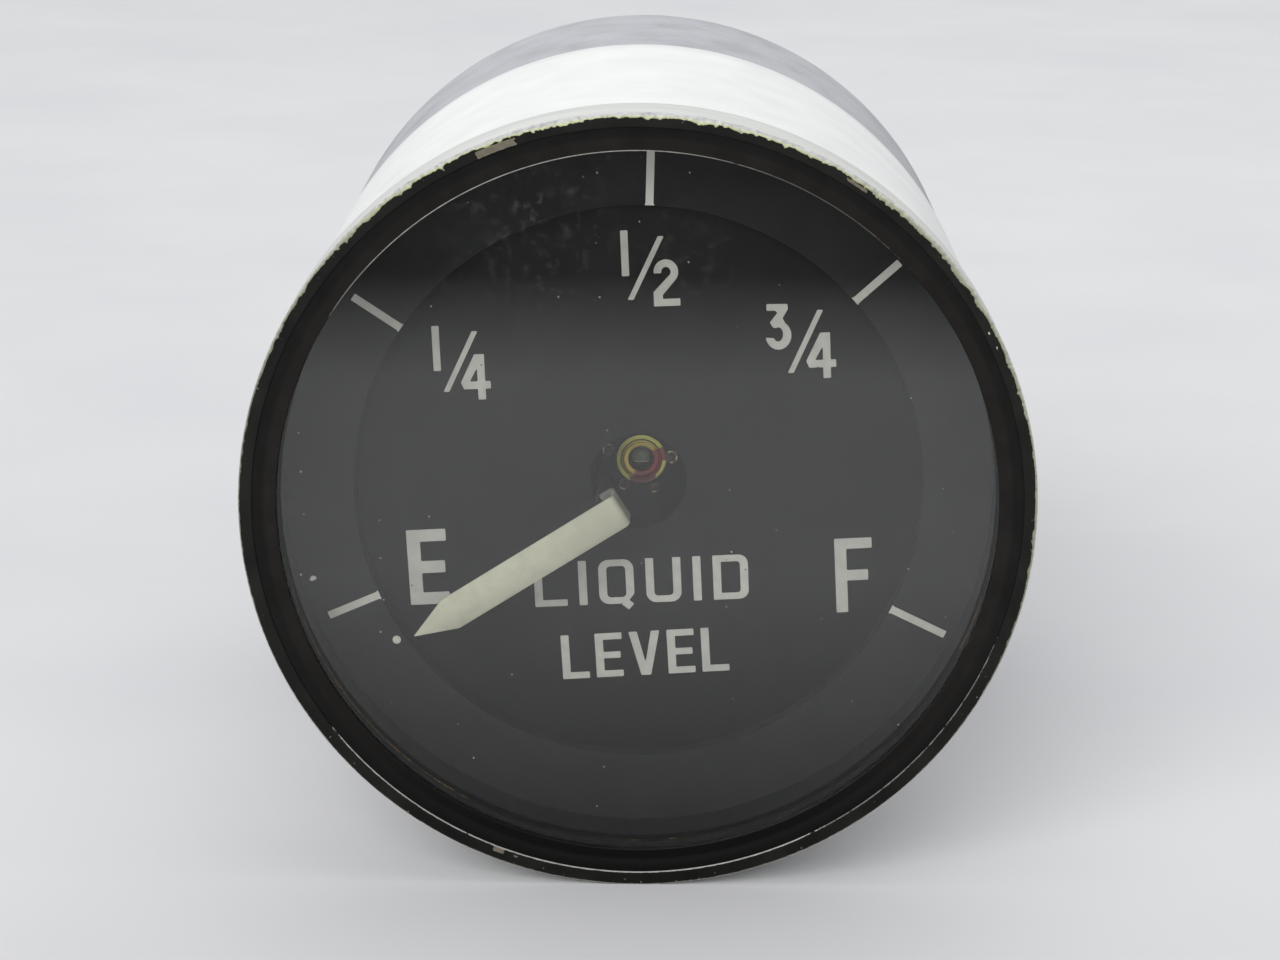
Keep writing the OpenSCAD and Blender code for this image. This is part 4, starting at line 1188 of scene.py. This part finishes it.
def make_floor():
    """A pale floor; mirrors see it darker close to the gauge and far in front of it, painted shade that only
    mirrors show.
    """
    half = 2.0
    low = CAD_BOX[0].z
    mesh = bpy.data.meshes.new("floor")
    mesh.from_pydata([(-half, -half, low), (half, -half, low), (half, half, low), (-half, half, low)],
                     [], [(0, 1, 2, 3)])
    floor = add_object("floor", mesh)
    look = Look("floor_pale", Roughness=0.9, specular=0.1)
    pale = look.tones(look.noise(0.02, 3.0), [srgb(208, 208, 210), srgb(213, 213, 214)])
    path = look.add("ShaderNodeLightPath").outputs
    # Painted shade seen only in mirrors: darker close to the gauge and far in front of it.
    mirrored = path["Is Glossy Ray"]
    far = look.times(look.step(look.depth, -160.0, -225.0), mirrored)
    close = look.times(look.step(look.depth, -75.0, -5.0), mirrored)
    look.colour(look.mix(far, look.mix(close, pale, grey(128)), grey(72)))
    mesh.materials.append(look.material)


def make_light():
    """A pale world, a soft lamp overhead and a broad, soft sun from the front left."""
    world = bpy.data.worlds.new("studio")
    world.use_nodes = True
    background = world.node_tree.nodes["Background"]
    background.inputs["Color"].default_value = (0.97, 0.98, 1.0, 1)
    background.inputs["Strength"].default_value = 0.68
    bpy.context.scene.world = world
    overhead = bpy.data.lights.new("overhead", "AREA")
    overhead.size = 0.8
    overhead.energy = 1.9
    front = bpy.data.lights.new("front_fill", "SUN")
    front.angle = math.radians(39)
    front.energy = 1.5
    for data, where in ((overhead, (0.10, 0.15, 0.75)), (front, (-0.35, -0.75, 0.55))):
        lamp = add_object(data.name, data)
        lamp.location = where
        lamp.rotation_mode = "QUATERNION"
        lamp.rotation_quaternion = Vector(where).to_track_quat("Z", "Y")


# Finishes of the CAD nodes that stay

# Nodes, then their speckled finish: name, tones, scale, roughness, bump, the shader's constants
SPECKLED_NODES = (
    (("glass_gasket", "receptacle_gasket"), "rubber_black", (grey(20), grey(32)), 1.0, (0.7, 0.85), 0.2,
     {"specular": 0.2}),
    (("dial_spacer",), "spacer_black", (grey(12), grey(22, 1)), 0.8, (0.5, 0.65), 0.2, {"specular": 0.15}),
    (("front_bridge", "former_front_half", "former_rear_half", "receptacle_insert"), "moulding_black",
     (grey(15), grey(24), grey(34)), 1.2, (0.4, 0.55), 0.15, {"specular": 0.25}),
    (("pointer_arm",), "arm_black", (grey(30), grey(48, 1)), 2.0, (0.45, 0.6), 0.1, {"specular": 0.25}),
    (("movement_plate",), "plate_dark", (grey(24), grey(38)), 0.7, (0.5, 0.6), 0.1, {"specular": 0.2}),
    (("rotor_magnet", "pull_off_magnet"), "magnet_grey", (grey(62), grey(86), grey(102)), 2.4, (0.45, 0.6),
     0.3, {"Metallic": 0.8}),
    (("circuit_board",), "board_green", (srgb(22, 66, 36), srgb(34, 88, 48), srgb(44, 100, 58)), 0.5,
     (0.3, 0.42), 0.1, {}),
    (("trimmers",), "trimmer_blue", (srgb(30, 58, 132), srgb(44, 76, 158)), 0.9, (0.3, 0.45), 0.1, {}),
)
# Nodes, then their turned metal: name, tones, roughness
TURNED_NODES = (
    (("dial_screws", "bridge_screw", "case_screws", "flange_screws", "staff"), "steel_plated",
     (grey(160, 4), grey(190, 4)), (0.28, 0.42)),
    (("dial_support",), "aluminium_plain", (grey(168, -2), grey(192, -2)), (0.34, 0.48)),
    (("front_posts", "mid_posts", "rear_posts", "balance_weight", "rear_jewel_screw"), "brass_posts",
     (srgb(168, 142, 84), srgb(196, 170, 106)), (0.28, 0.42)),
    (("shield_can",), "shield_metal", (grey(140), grey(166)), (0.35, 0.5)),
    (("contact_pins",), "contact_gold", (srgb(206, 172, 96), srgb(230, 198, 122)), (0.2, 0.34)),
)


def bands(look, direction, **sockets):
    """Bands across a direction."""
    sockets["Vector"] = look.millimetres
    return look.add("ShaderNodeTexWave", {"bands_direction": direction}, **sockets).outputs[0]


def wire_finish():
    """Enamelled copper in close turns."""
    look = Look("copper_wire", Metallic=0.7)
    turns = bands(look, "Y", Scale=1.6, Distortion=0.6, Detail=2.0)
    look.colour(look.tones(turns, [srgb(84, 38, 18), srgb(156, 82, 42), srgb(188, 108, 62)], 0.1, 0.9))
    look.surface((2.0, 4.0, 0.3, 0.45))
    look.relief(turns, 0.6, 0.08)
    return look.material


def resistor_finish():
    """A tan body with red-brown bands."""
    look = Look("resistor_body", specular=0.4)
    tones = [(0.0, srgb(120, 44, 30)), (0.12, srgb(168, 134, 88)), (0.9, srgb(186, 152, 104))]
    look.colour(look.ramp(bands(look, "X", Scale=0.28), tones))
    look.surface((1.5, 4.0, 0.35, 0.5), (3.0, 4.0, 0.1, 0.02))
    return look.material


def paint_nodes(material, *names):
    """Gives carried-over CAD nodes a finish in all their slots."""
    for name in names:
        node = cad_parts[name]
        if not node.material_slots:
            node.data.materials.append(material)
        for entry in node.material_slots:
            entry.material = material


def finish_nodes():
    """A procedural finish for each CAD node that stays as it is."""
    for names, *values, constants in SPECKLED_NODES:
        paint_nodes(speckled(*values, **constants), *names)
    for names, *values in TURNED_NODES:
        paint_nodes(turned_metal(*values), *names)
    paint_nodes(case_finish(), "case_shell")
    paint_nodes(wire_finish(), "winding_a", "winding_b")
    paint_nodes(resistor_finish(), "resistors")


make_camera()
make_bezel()
make_retainer()
make_glass()
make_dial()
make_hub()
make_terminals()
make_pointer()
make_label()
make_receptacle()
finish_nodes()
make_floor()
make_light()
bpy.context.scene.view_settings.view_transform = "Standard"

bpy.context.view_layer.update()
